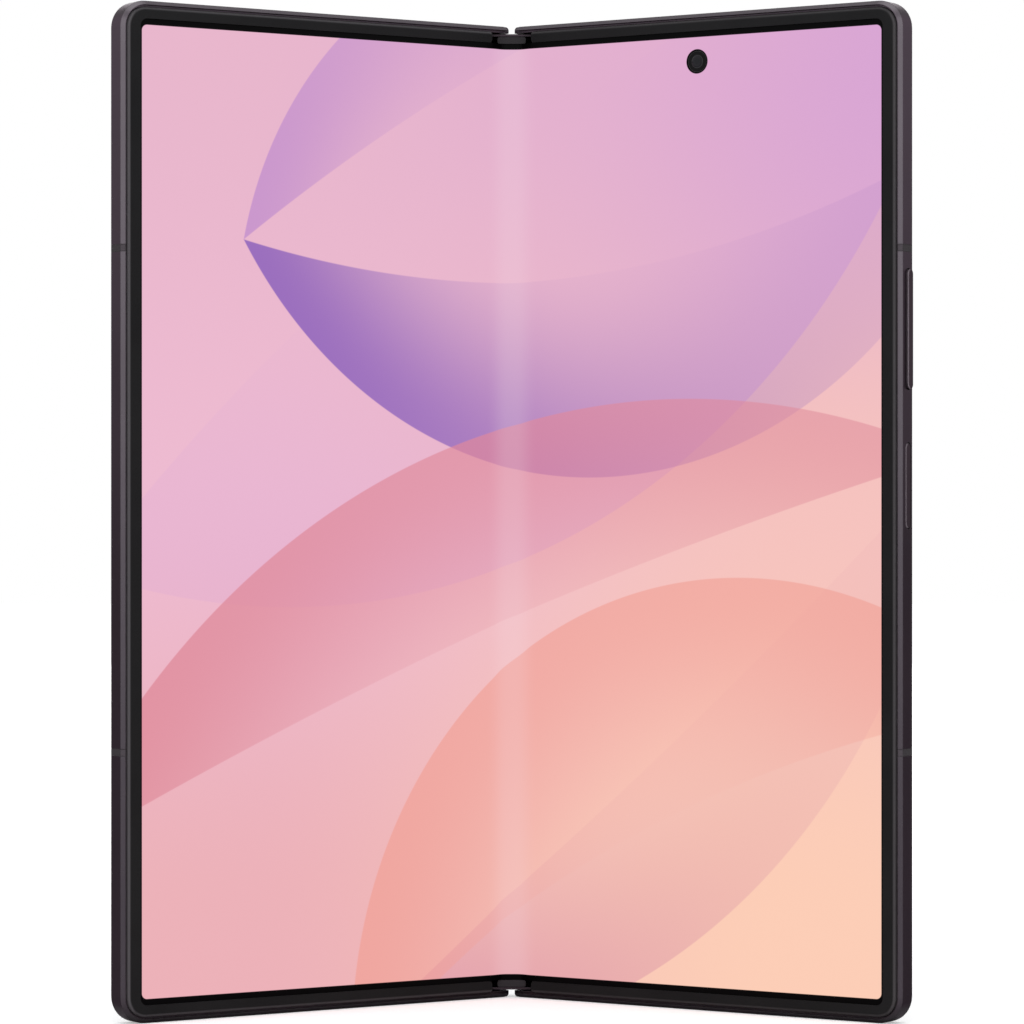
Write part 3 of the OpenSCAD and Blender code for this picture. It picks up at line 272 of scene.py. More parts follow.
def anodised(name, color, worn, rough=0.36):
    """Blasted and dyed aluminium: fine grain, handling marks, and paler edges where the dye has worn."""
    s = Shade(name)
    cloud = s.ramp(s.noise(45.0, 3.0), 0.3, 0.7)
    patches = s.ramp(s.noise(900.0, 5.0, 0.7), 0.45, 0.7)
    rounded = s.rounding(0.00012)
    flat = s.node("ShaderNodeNewGeometry").outputs["Normal"]
    edge = s.ramp(s.dot(rounded, flat), 0.985, 0.9)
    wear = s.math("MULTIPLY", edge, s.ramp(patches, 0.0, 1.0, 0.15, 0.7))
    s.set(color=s.mix(wear, s.mix(cloud, color, scaled(color, 0.86)), worn),
          rough=s.math("ADD", s.ramp(cloud, 0.0, 1.0, rough - 0.04, rough + 0.05, smooth=False),
                       s.math("MULTIPLY", wear, -0.08)),
          metal=1.0, spec_tint=(0.6, 0.56, 0.59, 1.0))
    s.bump(s.noise(6500.0, 2.0, 0.5), 0.12, 0.00002, rounded)
    return s


def painted_light_masks(s, side):
    """Shares of the cut along the front of the long side, and of the short sides, where a highlight and shade
    are painted.

    On the cut a rounded normal leans half way outwards. On the short sides it leans up or down.
    """
    normal = s.in_object(s.rounding(0.0002))
    lean = s.dot(normal, facing(side))
    up = s.math("ABSOLUTE", s.dot(normal, UP))
    cut = s.math("MULTIPLY", s.ramp(lean, 0.45, 0.7), s.ramp(lean, 0.75, 0.97, 1.0, 0.0))
    # the painted highlight on the cut is weaker on the short sides
    return s.math("MULTIPLY", cut, s.ramp(up, 0.1, 0.5, 1.0, 0.45)), s.ramp(up, 0.2, 0.6)


def chamfered(side):
    """Anodised rail with painted light: paler towards the top, where more light falls, painted shade on the
    short sides, and a painted highlight along the cut at its front.
    """
    s = anodised("rail_metal", srgb(46, 39, 44), srgb(92, 85, 91))
    cut, short = painted_light_masks(s, side)
    height = s.measured(SIDES[side] + "_frame", (0, 1, 0))
    # painted light: the rail is paler towards the top, where more light falls
    rail = s.mix(s.ramp(height, 65.0, 158.0, smooth=False), s.fed("Base Color"), srgb(76, 67, 75))
    # painted shade on the short sides, which face up and down and get less light
    rail = s.mix(short, rail, srgb(62, 61, 62))
    # painted highlight along the cut, paler towards the top
    bright = s.mix(s.ramp(height, 20.0, 140.0, smooth=False), srgb(74, 68, 74), srgb(96, 90, 96))
    s.set(color=s.mix(cut, rail, bright),
          rough=s.math("ADD", s.fed("Roughness"), s.math("MULTIPLY", cut, -0.08)))
    return s.mat


def key_with_highlight():
    """Anodised key with a painted highlight along its front edge."""
    s = anodised("key_metal", srgb(57, 49, 54), srgb(104, 95, 102), 0.32)
    lean = s.dot(s.in_object(s.rounding(0.0006)), facing(1))
    # painted highlight on the rounded front edge
    s.set(color=s.mix(s.ramp(lean, 0.05, 0.25), s.fed("Base Color"), srgb(138, 129, 136)))
    return s.mat


def insert(side):
    """Antenna insert: matte plastic in the rail's colour, with the rail's painted highlight along its
    chamfer.
    """
    s = Shade("insert_plastic")
    cloud = s.noise(60.0, 3.0)
    cut, _ = painted_light_masks(s, side)
    flat = s.mix(s.ramp(cloud, 0.3, 0.7), srgb(42, 36, 40), srgb(37, 31, 35))
    # painted highlight along the chamfer, as on the rail
    s.set(color=s.mix(cut, flat, srgb(78, 72, 77)), rough=s.ramp(cloud, 0.3, 0.7, 0.44, 0.54), spec=0.12)
    s.bump(s.noise(4200.0, 2.0, 0.5), 0.1, 0.00003)
    return s.mat


def rim(side):
    """Matte black rim, smoother and with a painted highlight on the rounding along its outer edge."""
    s = Shade("rim_plastic")
    cloud = s.noise(60.0, 3.0)
    normal = s.coords("Normal")
    height = s.measured(SIDES[side] + "_rim", (0, 1, 0))
    away = s.ramp(height, BODY_H / 2 - 1, BODY_H / 2 + 1, -1.0, 1.0)
    beyond = s.math("MULTIPLY", s.dot(normal, UP), away)
    aside = s.dot(normal, outward(side))
    turned = s.math("MAXIMUM", s.ramp(aside, 0.12, 0.6), s.ramp(beyond, 0.12, 0.6, 0.0, 0.6))
    front = s.ramp(s.dot(normal, facing(side)), 0.05, 0.3)
    rim_highlight_mask = s.math("MULTIPLY", turned, front)
    flat = s.mix(s.ramp(cloud, 0.3, 0.7), srgb(26, 26, 27), srgb(22, 22, 23))
    # painted highlight on the rounding, brighter on the left half, where more light falls
    pale = srgb(76, 73, 75) if side > 0 else srgb(90, 87, 90)
    s.set(color=s.mix(rim_highlight_mask, flat, pale), spec=0.1,
          rough=s.math("SUBTRACT", s.ramp(cloud, 0.3, 0.7, 0.5, 0.6), s.math("MULTIPLY", rim_highlight_mask, 0.12)))
    s.bump(s.noise(4200.0, 2.0, 0.5), 0.12, 0.00003)
    return s.mat


def plastic(name, color, rough=0.55, spec=0.5):
    """Matte moulded plastic with a fine texture."""
    s = Shade(name)
    cloud = s.noise(60.0, 3.0)
    s.set(color=s.mix(s.ramp(cloud, 0.3, 0.7), color, scaled(color, 0.85)),
          rough=s.ramp(cloud, 0.3, 0.7, rough - 0.05, rough + 0.06), spec=spec)
    s.bump(s.noise(4200.0, 2.0, 0.5), 0.15, 0.00003)
    return s.mat


def metal(name, color, rough=0.3, stretch=30.0):
    """Bright metal with drawn lines."""
    s = Shade(name)
    mapping = s.node("ShaderNodeMapping")
    mapping.inputs["Scale"].default_value = (1.0, 1.0, stretch)
    s.link(s.coords(), mapping.inputs["Vector"])
    lines = s.noise(300.0, 4.0, 0.6, mapping.outputs[0])
    s.set(color=s.mix(s.ramp(lines, 0.3, 0.7), color, scaled(color, 0.8)),
          metal=1.0, rough=s.ramp(lines, 0.3, 0.7, rough - 0.06, rough + 0.08))
    s.bump(lines, 0.1, 0.00001)
    return s.mat


def frosted_glass():
    """Etched back glass: matte, with a fine sparkle and faint finger marks."""
    s = Shade("back_glass")
    marks = s.noise(28.0, 5.0, 0.55)
    s.set(color=s.mix(s.ramp(marks, 0.35, 0.65), srgb(47, 42, 47), srgb(42, 37, 42)),
          rough=s.ramp(marks, 0.4, 0.62, 0.34, 0.44), spec=0.3, coat=0.1, coat_rough=0.3)
    s.bump(s.noise(9000.0, 1.0, 0.5), 0.08, 0.00001)
    return s.mat


def black_glass(name, color, spec):
    """Polished black glass with faint smudges."""
    s = Shade(name)
    marks = s.noise(35.0, 5.0, 0.6)
    s.set(color=s.mix(s.ramp(marks, 0.4, 0.6), color, scaled(color, 1.25)),
          rough=s.ramp(marks, 0.45, 0.65, 0.05, 0.1), spec=spec)
    return s.mat


def cover_face():
    """Cover display seen through its glass when off: black border, slightly paler area, and its camera."""
    s = Shade("cover_glass")
    marks = s.noise(35.0, 5.0, 0.6)
    x = s.measured("cover_glass", (1, 0, 0))
    y = s.measured("cover_glass", (0, 1, 0))
    panel = s.rounded_box(x, y, (COVER_MID, BODY_H / 2), (COVER_W, COVER_H), COVER_R)
    from_camera = s.hypot(s.math("SUBTRACT", x, COVER_CAMERA[0]), s.math("SUBTRACT", y, COVER_CAMERA[1]))
    c = s.mix(panel, srgb(3, 3, 4), s.mix(s.ramp(marks, 0.4, 0.6), srgb(14, 14, 17), srgb(17, 17, 20)))
    for r, color in ((PUNCH_R, srgb(2, 2, 3)), (0.9, srgb(26, 30, 46)), (0.45, srgb(6, 6, 9))):
        c = s.mix(s.disc(from_camera, r), c, color)
    s.set(color=c, rough=s.ramp(marks, 0.45, 0.65, 0.05, 0.11), spec=0.3)
    return s.mat


def lens_cover():
    """Clear cover glass: faint reflections over what lies below, with a few marks."""
    s = Shade("lens_glass")
    marks = s.noise(120.0, 4.0, 0.6)
    s.set(color=srgb(12, 12, 15), rough=s.ramp(marks, 0.5, 0.7, 0.02, 0.06), spec=0.5)
    clear = s.node("ShaderNodeBsdfTransparent")
    clear.inputs["Color"].default_value = (0.9, 0.92, 0.95, 1.0)
    both = s.node("ShaderNodeMixShader")
    both.inputs[0].default_value = 0.3
    s.link(clear.outputs[0], both.inputs[1])
    s.link(s.bsdf.outputs[0], both.inputs[2])
    s.link(both.outputs[0], s.tree.nodes["Material Output"].inputs["Surface"])
    return s.mat


def lens_coating(name, spot, radius, inner, outer, shine=0.8):
    """Coated front element: the tint changes from its middle, the spot, to its edge."""
    s = Shade(name)
    gap = s.node("ShaderNodeVectorMath", operation="DISTANCE")
    s.link(s.coords(), gap.inputs[0])
    gap.inputs[1].default_value = spot
    tint = s.ramp(s.noise(400.0, 2.0, 0.5), 0.3, 0.7, -0.05, 0.05)
    reach = s.ramp(gap.outputs["Value"], radius * 0.25 * MM, radius * MM)
    s.set(color=s.mix(s.math("ADD", reach, tint, clamp=True), inner, outer), rough=0.06, spec=shine)
    return s.mat


def flash_diffuser():
    """Pale ribbed window of the flash."""
    s = Shade("flash_lens")
    ring = s.node("ShaderNodeTexVoronoi", feature="F1")
    s.link(s.coords(), ring.inputs["Vector"])
    ring.inputs["Scale"].default_value = 2600.0
    s.set(color=s.mix(s.ramp(s.noise(700.0), 0.35, 0.65), srgb(236, 226, 190), srgb(222, 206, 160)),
          rough=s.ramp(ring.outputs["Distance"], 0.0, 0.6, 0.2, 0.34), coat=0.6)
    s.bump(ring.outputs["Distance"], 0.5, 0.00005)
    return s.mat


def board():
    """Green circuit board with bright tracks."""
    s = Shade("board")
    grid = s.node("ShaderNodeTexBrick")
    s.link(s.coords(), grid.inputs["Vector"])
    grid.inputs["Scale"].default_value = 400.0
    grid.inputs["Color1"].default_value = srgb(24, 88, 60)
    grid.inputs["Color2"].default_value = srgb(20, 74, 52)
    grid.inputs["Mortar"].default_value = srgb(150, 120, 60)
    s.set(color=grid.outputs["Color"], rough=s.ramp(s.noise(800.0), 0.3, 0.7, 0.35, 0.5))
    s.bump(grid.outputs["Fac"], 0.2, 0.00003)
    return s.mat


def battery():
    """Creased wrap of a battery pouch."""
    s = Shade("battery_wrap")
    folds = s.noise(90.0, 5.0, 0.65)
    s.set(color=s.mix(s.ramp(folds, 0.35, 0.65), srgb(44, 48, 55), srgb(36, 39, 46)),
          rough=s.ramp(folds, 0.3, 0.7, 0.3, 0.45), metal=0.3)
    s.bump(folds, 0.25, 0.0001)
    return s.mat


def flex_film():
    """Dark film of a flat cable, with its tracks."""
    s = Shade("flex_film")
    wave = s.node("ShaderNodeTexWave", wave_type="BANDS", bands_direction="Z")
    s.link(s.coords(), wave.inputs["Vector"])
    wave.inputs["Scale"].default_value = 700.0
    s.set(color=s.mix(s.ramp(wave.outputs["Fac"], 0.4, 0.6), srgb(72, 50, 32), srgb(54, 38, 26)),
          rough=s.ramp(s.noise(500.0), 0.3, 0.7, 0.3, 0.42), coat=0.3)
    s.bump(wave.outputs["Fac"], 0.15, 0.00002)
    return s.mat


# ---------- screen ----------

SCREEN_OUT = 68.02
SCREEN_LOW = 3.76
SCREEN_HIGH = 154.65
SCREEN_R = 0.9
UV_SPAN = 160.0


class Screen(Shade):
    """The lit display. x runs across both halves from the fold and y up the phone, both in millimetres."""

    def __init__(self):
        super().__init__("screen")
        uv = self.node("ShaderNodeSeparateXYZ")
        self.link(self.node("ShaderNodeUVMap", uv_map="UVMap").outputs[0], uv.inputs[0])
        self.x = self.math("MULTIPLY", self.math("SUBTRACT", uv.outputs[0], 0.5), UV_SPAN)
        self.y = self.math("MULTIPLY", uv.outputs[1], UV_SPAN)

    def radius(self, cx, cy):
        """Distance from a centre."""
        return self.hypot(self.math("SUBTRACT", self.x, cx), self.math("SUBTRACT", self.y, cy))

    def inside(self, p, q, bulge, sense):
        """Share and depth inside the arc that runs from p to q and bulges to the left of that way."""
        length = math.dist(p, q)
        r = (length * length / 4 + bulge * bulge) / (2 * abs(bulge))
        across = ((p[1] - q[1]) / length, (q[0] - p[0]) / length)
        back = math.copysign(r - abs(bulge), bulge)
        centre = [(p[i] + q[i]) / 2 - across[i] * back for i in (0, 1)]
        depth = self.math("SUBTRACT", r, self.radius(*centre))
        if sense * bulge < 0:
            depth = self.math("MULTIPLY", depth, -1.0)
        return self.ramp(depth, -0.12, 0.12), depth

    def leaf(self, under, color, p, q, bulges, fade, strength, along):
        """A thin leaf between two arcs. It fades from its outer arc inwards, and from tip to tip."""
        outer, depth = self.inside(p, q, bulges[0], 1)
        inner, _ = self.inside(p, q, bulges[1], -1)
        length = math.dist(p, q)
        way = [(q[i] - p[i]) / length ** 2 for i in (0, 1)]
        run = self.math("ADD", self.math("MULTIPLY", self.math("SUBTRACT", self.x, p[0]), way[0]),
                        self.math("MULTIPLY", self.math("SUBTRACT", self.y, p[1]), way[1]))
        share = self.math("MULTIPLY", self.math("MULTIPLY", outer, inner),
                          self.ramp(depth, 0.0, fade, strength, 0.0))
        share = self.math("MULTIPLY", share, self.ramp(run, 0.0, 1.0, *along))
        return self.mix(share, under, color)


# colour, first and last tip, bulge of the outer and the inner arc, depth and strength of the fade,
# and strength at the two tips
LEAVES = [
    ((210, 158, 214), (84, 176), (-78, 70), (46, -14), 60, 0.6, (1.0, 0.3)),
    ((148, 104, 188), (88, 140), (-50, 122), (46, 13), 40, 0.95, (0.15, 1.0)),
    ((190, 138, 204), (-50, 122), (34, 170), (22, 3), 30, 0.75, (1.0, 0.1)),
    ((222, 136, 152), (-84, 26), (80, 88), (34, 4), 46, 0.8, (1.0, 0.7)),
    ((208, 124, 160), (80, 88), (-36, -10), (30, 3), 40, 0.55, (0.1, 1.0)),
    ((240, 158, 146), (-30, -10), (92, 50), (46, 10), 42, 0.75, (0.9, 0.8)),
]


def screen():
    """Lit display: pastel gradient with thin overlapping leaves, a black border and a faint painted
    reflection down the fold.
    """
    s = Screen()
    top = s.mix(s.ramp(s.x, -60, 60), srgb(232, 182, 204), srgb(224, 173, 208))
    middle = s.mix(s.ramp(s.x, -50, 55), srgb(237, 186, 208), srgb(245, 194, 190))
    low = s.mix(s.ramp(s.x, -50, 50), srgb(236, 177, 184), srgb(252, 205, 182))
    c = s.mix(s.ramp(s.y, 80, 150), middle, top)
    c = s.mix(s.ramp(s.y, 15, 85, 1.0, 0.0), c, low)
    for color, p, q, bulges, fade, strength, along in LEAVES:
        c = s.leaf(c, srgb(*color), p, q, bulges, fade, strength, along)
    lit = s.rounded_box(s.x, s.y, (0.0, (SCREEN_LOW + SCREEN_HIGH) / 2),
                        (2 * SCREEN_OUT, SCREEN_HIGH - SCREEN_LOW), SCREEN_R)
    # dark ring of the camera opening
    lit = s.math("MULTIPLY", lit, s.ramp(s.radius(PUNCH_S, PUNCH_H), PUNCH_R + 0.05, PUNCH_R + 0.15))
    # painted reflection: a faint lighter band down the fold
    crease_sheen = s.ramp(s.math("ABSOLUTE", s.x), 0.5, 5.0, 1.0, 0.0)
    c = s.mix(s.math("MULTIPLY", crease_sheen, 0.12), c, srgb(250, 232, 242))
    smudge = s.noise(30.0, 5.0, 0.55)
    s.set(color=s.mix(s.ramp(smudge, 0.3, 0.7), (0.0012, 0.0012, 0.0015, 1), (0.002, 0.0018, 0.002, 1)),
          rough=s.ramp(smudge, 0.45, 0.65, 0.12, 0.18), spec=0.03,
          glow=s.mix(lit, (0.0, 0.0, 0.0, 1.0), c), glow_strength=1.0)
    s.bump(s.noise(140.0, 3.0, 0.5), 0.02, 0.00002)
    return s.mat


# ---------- mesh helpers ----------

def make(name, bm, mats, smooth_angle=30.0):
    """Turns a bmesh in metres into a piece, with its faces outwards and creases sharp."""
    bmesh.ops.recalc_face_normals(bm, faces=bm.faces)
    limit = math.radians(smooth_angle)
    for f in bm.faces:
        f.smooth = True
    for e in bm.edges:
        e.smooth = len(e.link_faces) == 2 and e.calc_face_angle() < limit
    mesh = bpy.data.meshes.new(name)
    bm.to_mesh(mesh)
    bm.free()
    for m in mats:
        mesh.materials.append(m)
    o = bpy.data.objects.new(name, mesh)
    bpy.context.scene.collection.objects.link(o)
    return o


def circle(centre, r, sides):
    """Points round a centre."""
    turns = [2 * math.pi * i / sides for i in range(sides)]
    return [(centre[0] + r * math.cos(a), centre[1] + r * math.sin(a)) for a in turns]


def lathe(bm, profile, centre, matrix, sides=64):
    """Turns a closed profile of (radius, n) round an axis along n at (s, h)."""
    rings = []
    for r, n in profile:
        if r == 0:
            rings.append([bm.verts.new(matrix @ Vector((*centre, n)))] * sides)
        else:
            rings.append([bm.verts.new(matrix @ Vector((*p, n))) for p in circle(centre, r, sides)])
    for a, b in zip(rings, rings[1:] + rings[:1]):
        for i in range(sides):
            j = (i + 1) % sides
            # a point on the axis stands for its whole ring
            corners = list(dict.fromkeys((a[i], a[j], b[j], b[i])))
            if len(corners) > 2:
                bm.faces.new(corners)


def block(bm, low, high, matrix, bevel):
    """A block with bevelled edges between two corners (s, h, n)."""
    verts = bmesh.ops.create_cube(bm, size=1.0)["verts"]
    size = Vector(high) - Vector(low)
    mid = (Vector(high) + Vector(low)) / 2
    for v in verts:
        v.co = v.co * size + mid
    edges = list({e for v in verts for e in v.link_edges})
    new = bmesh.ops.bevel(bm, geom=edges, offset=bevel, segments=2, affect="EDGES")
    faces = set(new["faces"]) | {f for v in new["verts"] for f in v.link_faces}
    for v in {v for f in faces for v in f.verts}:
        v.co = matrix @ v.co


def ease(t):
    """Smooth step from 0 to 1."""
    t = min(max(t, 0.0), 1.0)
    return t * t * (3 - 2 * t)


# ---------- display ----------

SETTLE_STEPS = 60
CORNER_STEPS = 12
PUNCH_SIDES = 64
BEND_STEPS = 36


def solved_share(s, h, n, side, reach):
    """Share of the fold at which a point of the bending display settles, eased by its distance from the fold
    line.
    """
    share = 0.5
    for _ in range(SETTLE_STEPS):
        share = (share + ease(abs(placed(s, h, n, side, share).x) / reach)) / 2
    return share


BEND_REACH = placed(BEND_L, 0, 0, 1).x


def display_outline():
    """Flat part of one display half."""
    pts = [(RIM_START, DISPLAY_LOW)]
    for cx, cy, a0 in ((DISPLAY_OUT - DISPLAY_R, DISPLAY_LOW + DISPLAY_R, -90),
                       (DISPLAY_OUT - DISPLAY_R, BODY_H - DISPLAY_LOW - DISPLAY_R, 0)):
        for k in range(CORNER_STEPS + 1):
            a = math.radians(a0 + 90 * k / CORNER_STEPS)
            pts.append((cx + DISPLAY_R * math.cos(a), cy + DISPLAY_R * math.sin(a)))
    pts += [(RIM_START, BODY_H - DISPLAY_LOW), (RIM_START, BODY_H - FOLD_LOW), (RIM_START, FOLD_LOW)]
    return pts


def display_cells(punched):
    """Faces of one display half as lists of (s, h): the flat part, and strips in the bending part."""
    points = [Vector(p) for p in display_outline()]
    loops = [list(range(len(points)))]
    if punched:
        loops.append(list(range(len(points), len(points) + PUNCH_SIDES))[::-1])
        points += [Vector(p) for p in circle((PUNCH_S, PUNCH_H), PUNCH_R, PUNCH_SIDES)]
    edges = [(loop[i], loop[(i + 1) % len(loop)]) for loop in loops for i in range(len(loop))]
    out = geometry.delaunay_2d_cdt(points, edges, [loops[0]], 1, 1e-5)
    cells = []
    for f in out[2]:
        corners = [out[0][i] for i in f]
        mid = sum(corners, Vector((0, 0))) / len(corners)
        if punched and (mid - Vector((PUNCH_S, PUNCH_H))).length < PUNCH_R * 0.995:
            continue
        cells.append([(c.x, c.y) for c in corners])
    columns = [RIM_START * i / BEND_STEPS for i in range(BEND_STEPS + 1)]
    for a, b in zip(columns, columns[1:]):
        cells.append([(a, FOLD_LOW), (b, FOLD_LOW), (b, BODY_H - FOLD_LOW), (a, BODY_H - FOLD_LOW)])
    return cells


def known_as(p):
    """Key of a point, the same for all the faces that meet there."""
    return tuple(round(v, 4) for v in p)


def display_half(name, side, punched, mats):
    """One half of the display: lit front, dark back and edges, bending towards the fold."""
    cells = display_cells(punched)
    bm = bmesh.new()
    uv = bm.loops.layers.uv.new("UVMap")
    known = {}

    def vert(s, h, n):
        key = known_as((s, h, n))
        if key not in known:
            share = 1.0 if s >= RIM_START - 1e-4 else solved_share(s, h, n, side, BEND_REACH)
            known[key] = bm.verts.new(placed(s, h, n, side, share))
        return known[key]

    def face(points, material):
        f = bm.faces.new([vert(*p) for p in points])
        f.material_index = material
        for loop, (s, h, n) in zip(f.loops, points):
            loop[uv].uv = (side * s / UV_SPAN + 0.5, h / UV_SPAN)

    # an edge that only one face has lies on the outline
    count = {}
    for cell in cells:
        for a, b in zip(cell, cell[1:] + cell[:1]):
            edge = frozenset((known_as(a), known_as(b)))
            count[edge] = count.get(edge, 0) + 1
    for cell in cells:
        if side < 0:
            cell = cell[::-1]
        face([(s, h, 0.0) for s, h in cell], 0)
        face([(s, h, -SHEET_T) for s, h in cell[::-1]], 1)
        for a, b in zip(cell, cell[1:] + cell[:1]):
            if count[frozenset((known_as(a), known_as(b)))] == 1:
                face([(*a, 0.0), (*a, -SHEET_T), (*b, -SHEET_T), (*b, 0.0)], 1)
    o = make(name, bm, mats, 50.0)
    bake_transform(o)
    return o


# ---------- cables across the hinge ----------

FLEX_W = 9.0
FLEX_H = BODY_H / 2 - 20
FLEX_T = 0.12
FLEX_LOW = -2.1
FLEX_HIGH = -1.4
FLEX_RISE_START = 0.9
FLEX_RISE_L = 2.3
FLEX_L = 9.8
FLEX_STEPS = 40
FLEX_REACH = placed(4.2, 0, FLEX_HIGH, 1).x


def flex_line():
    """Flat run of the cable from the spine's middle into a half, as (s, n)."""
    run = [FLEX_L * i / FLEX_STEPS for i in range(FLEX_STEPS + 1)]
    return [(s, FLEX_LOW + (FLEX_HIGH - FLEX_LOW) * ease((s - FLEX_RISE_START) / FLEX_RISE_L)) for s in run]


def flex_half(name, side, mats):
    """Both cables' runs into one half."""
    bm = bmesh.new()
    for h0 in (FLEX_H, BODY_H - FLEX_H - FLEX_W):
        rows = []
        for s, middle in flex_line():
            row = []
            for h, dn in ((h0, 1), (h0 + FLEX_W, 1), (h0 + FLEX_W, -1), (h0, -1)):
                n = middle + dn * FLEX_T / 2
                row.append(bm.verts.new(placed(s, h, n, side, solved_share(s, h, n, side, FLEX_REACH))))
            rows.append(row)
        for a, b in zip(rows, rows[1:]):
            for i in range(4):
                j = (i + 1) % 4
                bm.faces.new((a[i], a[j], b[j], b[i]))
        bm.faces.new(rows[0])
        bm.faces.new(rows[-1][::-1])
    o = make(name, bm, mats)
    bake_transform(o)
    return o


# ---------- build ----------

rail_right = chamfered(1)
rail_left = chamfered(-1)
plum = anodised("plum_metal", srgb(66, 58, 64), srgb(108, 100, 107)).mat
key_metal = key_with_highlight()
ring_metal = anodised("ring_metal", srgb(70, 62, 68), srgb(150, 142, 148), 0.26).mat
rim_right = rim(1)
rim_left = rim(-1)
cap_plastic = plastic("cap_plastic", srgb(47, 44, 47), 0.45, spec=0.15)
insert_right = insert(1)
insert_left = insert(-1)
collar_black = plastic("collar_black", srgb(10, 10, 11), 0.45, spec=0.1)
part_plastic = plastic("part_plastic", srgb(27, 27, 29), 0.5)
steel = metal("steel", srgb(176, 178, 182))
plate_steel = metal("plate_steel", srgb(160, 162, 166), 0.34, 10.0)
screw_steel = metal("screw_steel", srgb(200, 200, 202), 0.22)
brass = metal("brass", srgb(190, 154, 88), 0.28)
magnet_metal = metal("magnet_metal", srgb(190, 190, 194), 0.2)
can_metal = metal("can_metal", srgb(176, 178, 181), 0.36)
copper = metal("copper", srgb(190, 120, 62), 0.3)
glass_back = frosted_glass()
cover_black = cover_face()
panel_black = black_glass("panel_black", srgb(4, 4, 5), 0.04)
lens_glass = lens_cover()
flash = flash_diffuser()
green = board()
wrap = battery()
film = flex_film()
screen_mat = screen()
gold = metal("gold", srgb(230, 190, 104), 0.22)

FINISH = {
    "spine_cover": plum, "hinge_bases": steel, "detent_followers": brass, "detent_springs": steel,
    "spine_screws": screw_steel, "fold_plate": plate_steel, "fold_caps": cap_plastic,
    "display_fold": panel_black, "hinge_flex": film, "left_sync_arms": steel, "right_sync_arms": steel,
    "left_idlers": steel, "right_idlers": steel, "left_frame": rail_left, "right_frame": rail_right,
    "left_rim": rim_left, "right_rim": rim_right, "left_display": panel_black, "right_display": panel_black,
    "left_wing_plate": plate_steel, "right_wing_plate": plate_steel, "left_brackets": steel,
    "right_brackets": steel, "left_antenna_inserts": insert_left, "right_antenna_inserts": insert_right,
    "left_magnets": magnet_metal, "right_magnets": magnet_metal, "left_battery": wrap, "right_battery": wrap,
    "left_board": green, "mainboard": green, "sub_board": green, "shield_cans": can_metal,
    "left_screws": screw_steel, "right_screws": screw_steel, "cover_glass": cover_black,
    "cover_display": panel_black, "cover_camera": part_plastic, "top_speaker": part_plastic,
    "sim_reader": can_metal, "sim_tray": plum, "rear_glass": glass_back, "camera_deck": plum,
    "lens_rings": ring_metal, "lens_glasses": lens_glass, "camera_modules": part_plastic, "flash_lens": flash,
    "selfie_camera": part_plastic, "wireless_coil": copper, "usb_port": steel, "loudspeaker": part_plastic,
    "haptic_motor": can_metal, "key_switches": film, "volume_key": key_metal, "side_key": key_metal,
}
for name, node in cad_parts.items():
    node.data.materials.clear()
    node.data.materials.append(FINISH[name])

display_right = display_half("display_right", 1, True, [screen_mat, panel_black])
display_left = display_half("display_left", -1, False, [screen_mat, panel_black])
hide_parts("right_display", "display_fold")
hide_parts("left_display")

flex_right = flex_half("flex_right", 1, [film])
flex_left = flex_half("flex_left", -1, [film])
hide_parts("hinge_flex")

RIGHT = half_matrix(1)


def ride(o):
    """Carries a piece on the right half."""
    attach(o, "right_half")


# camera modules: body, open barrel, stepped baffle and front element under each cover glass
BLUE = (srgb(20, 26, 60), srgb(84, 44, 104))
GREEN = (srgb(14, 44, 52), srgb(66, 52, 104))
MODULE_HALF = 5.4
MODULE_BACK = -3.3
MODULE_FRONT = -1.3
BARREL_R = 4.2
BARREL_FOOT = MODULE_BACK + 0.1
# steps down the inside of the barrel, as (radius, depth below its mouth)
BAFFLE = [(3.7, 0), (3.5, 0.25), (3.5, 0.6), (3.0, 0.6), (2.9, 0.8), (2.9, 1.1), (2.4, 1.1), (2.3, 1.5)]
ELEMENT_R = 2.25
DOME_H = 0.7
DOME_STEPS = 15
for i, tints in zip((-1, 0, 1), (BLUE, GREEN, BLUE)):
    h = DECK_MID_H + i * LENS_PITCH
    mouth = -DECK_BACK - RING_RISE * 0.35
    base = mouth + 2.0
    coat = lens_coating("lens_coat_%d" % (i + 2), placed(LENS_S, h, base - 0.8, 1), 2.3, *tints)
    bm = bmesh.new()
    block(bm, (LENS_S - MODULE_HALF, h - MODULE_HALF, MODULE_BACK),
          (LENS_S + MODULE_HALF, h + MODULE_HALF, MODULE_FRONT), RIGHT, 0.3)
    inside = [(r, mouth + depth) for r, depth in BAFFLE]
    lathe(bm, [(BARREL_R, BARREL_FOOT), (BARREL_R, mouth)] + inside + [(inside[-1][0], BARREL_FOOT)],
          (LENS_S, h), RIGHT)
    module = make("camera_module_%d" % (i + 2), bm, [part_plastic])
    ride(module)
    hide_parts("camera_modules")
    bm = bmesh.new()
    dome = [(ELEMENT_R * math.sin(a), base - 0.1 - DOME_H * math.cos(a))
            for a in [math.radians(90 * k / DOME_STEPS) for k in range(DOME_STEPS + 1)]]
    lathe(bm, [(0, base)] + [(0, dome[0][1])] + dome[1:] + [(ELEMENT_R, base)], (LENS_S, h), RIGHT, 48)
    ride(make("lens_element_%d" % (i + 2), bm, [coat]))

# camera behind the inner display: dark collar and a small domed lens
bm = bmesh.new()
lathe(bm, [(1.62, -0.09), (1.62, -0.03), (1.5, -0.02), (1.05, -0.06), (1.05, -0.09)],
      (PUNCH_S, PUNCH_H), RIGHT)
ride(make("inner_camera_collar", bm, [collar_black]))
bm = bmesh.new()
lathe(bm, [(0, -0.09), (0, -0.03), (0.4, -0.034), (0.7, -0.045), (0.95, -0.07), (1.0, -0.09)],
      (PUNCH_S, PUNCH_H), RIGHT, 48)
coat = lens_coating("inner_lens_coat", placed(PUNCH_S, PUNCH_H, 0, 1), 1.0,
                    srgb(18, 19, 24), srgb(30, 29, 34), 0.15)
ride(make("inner_camera_lens", bm, [coat]))

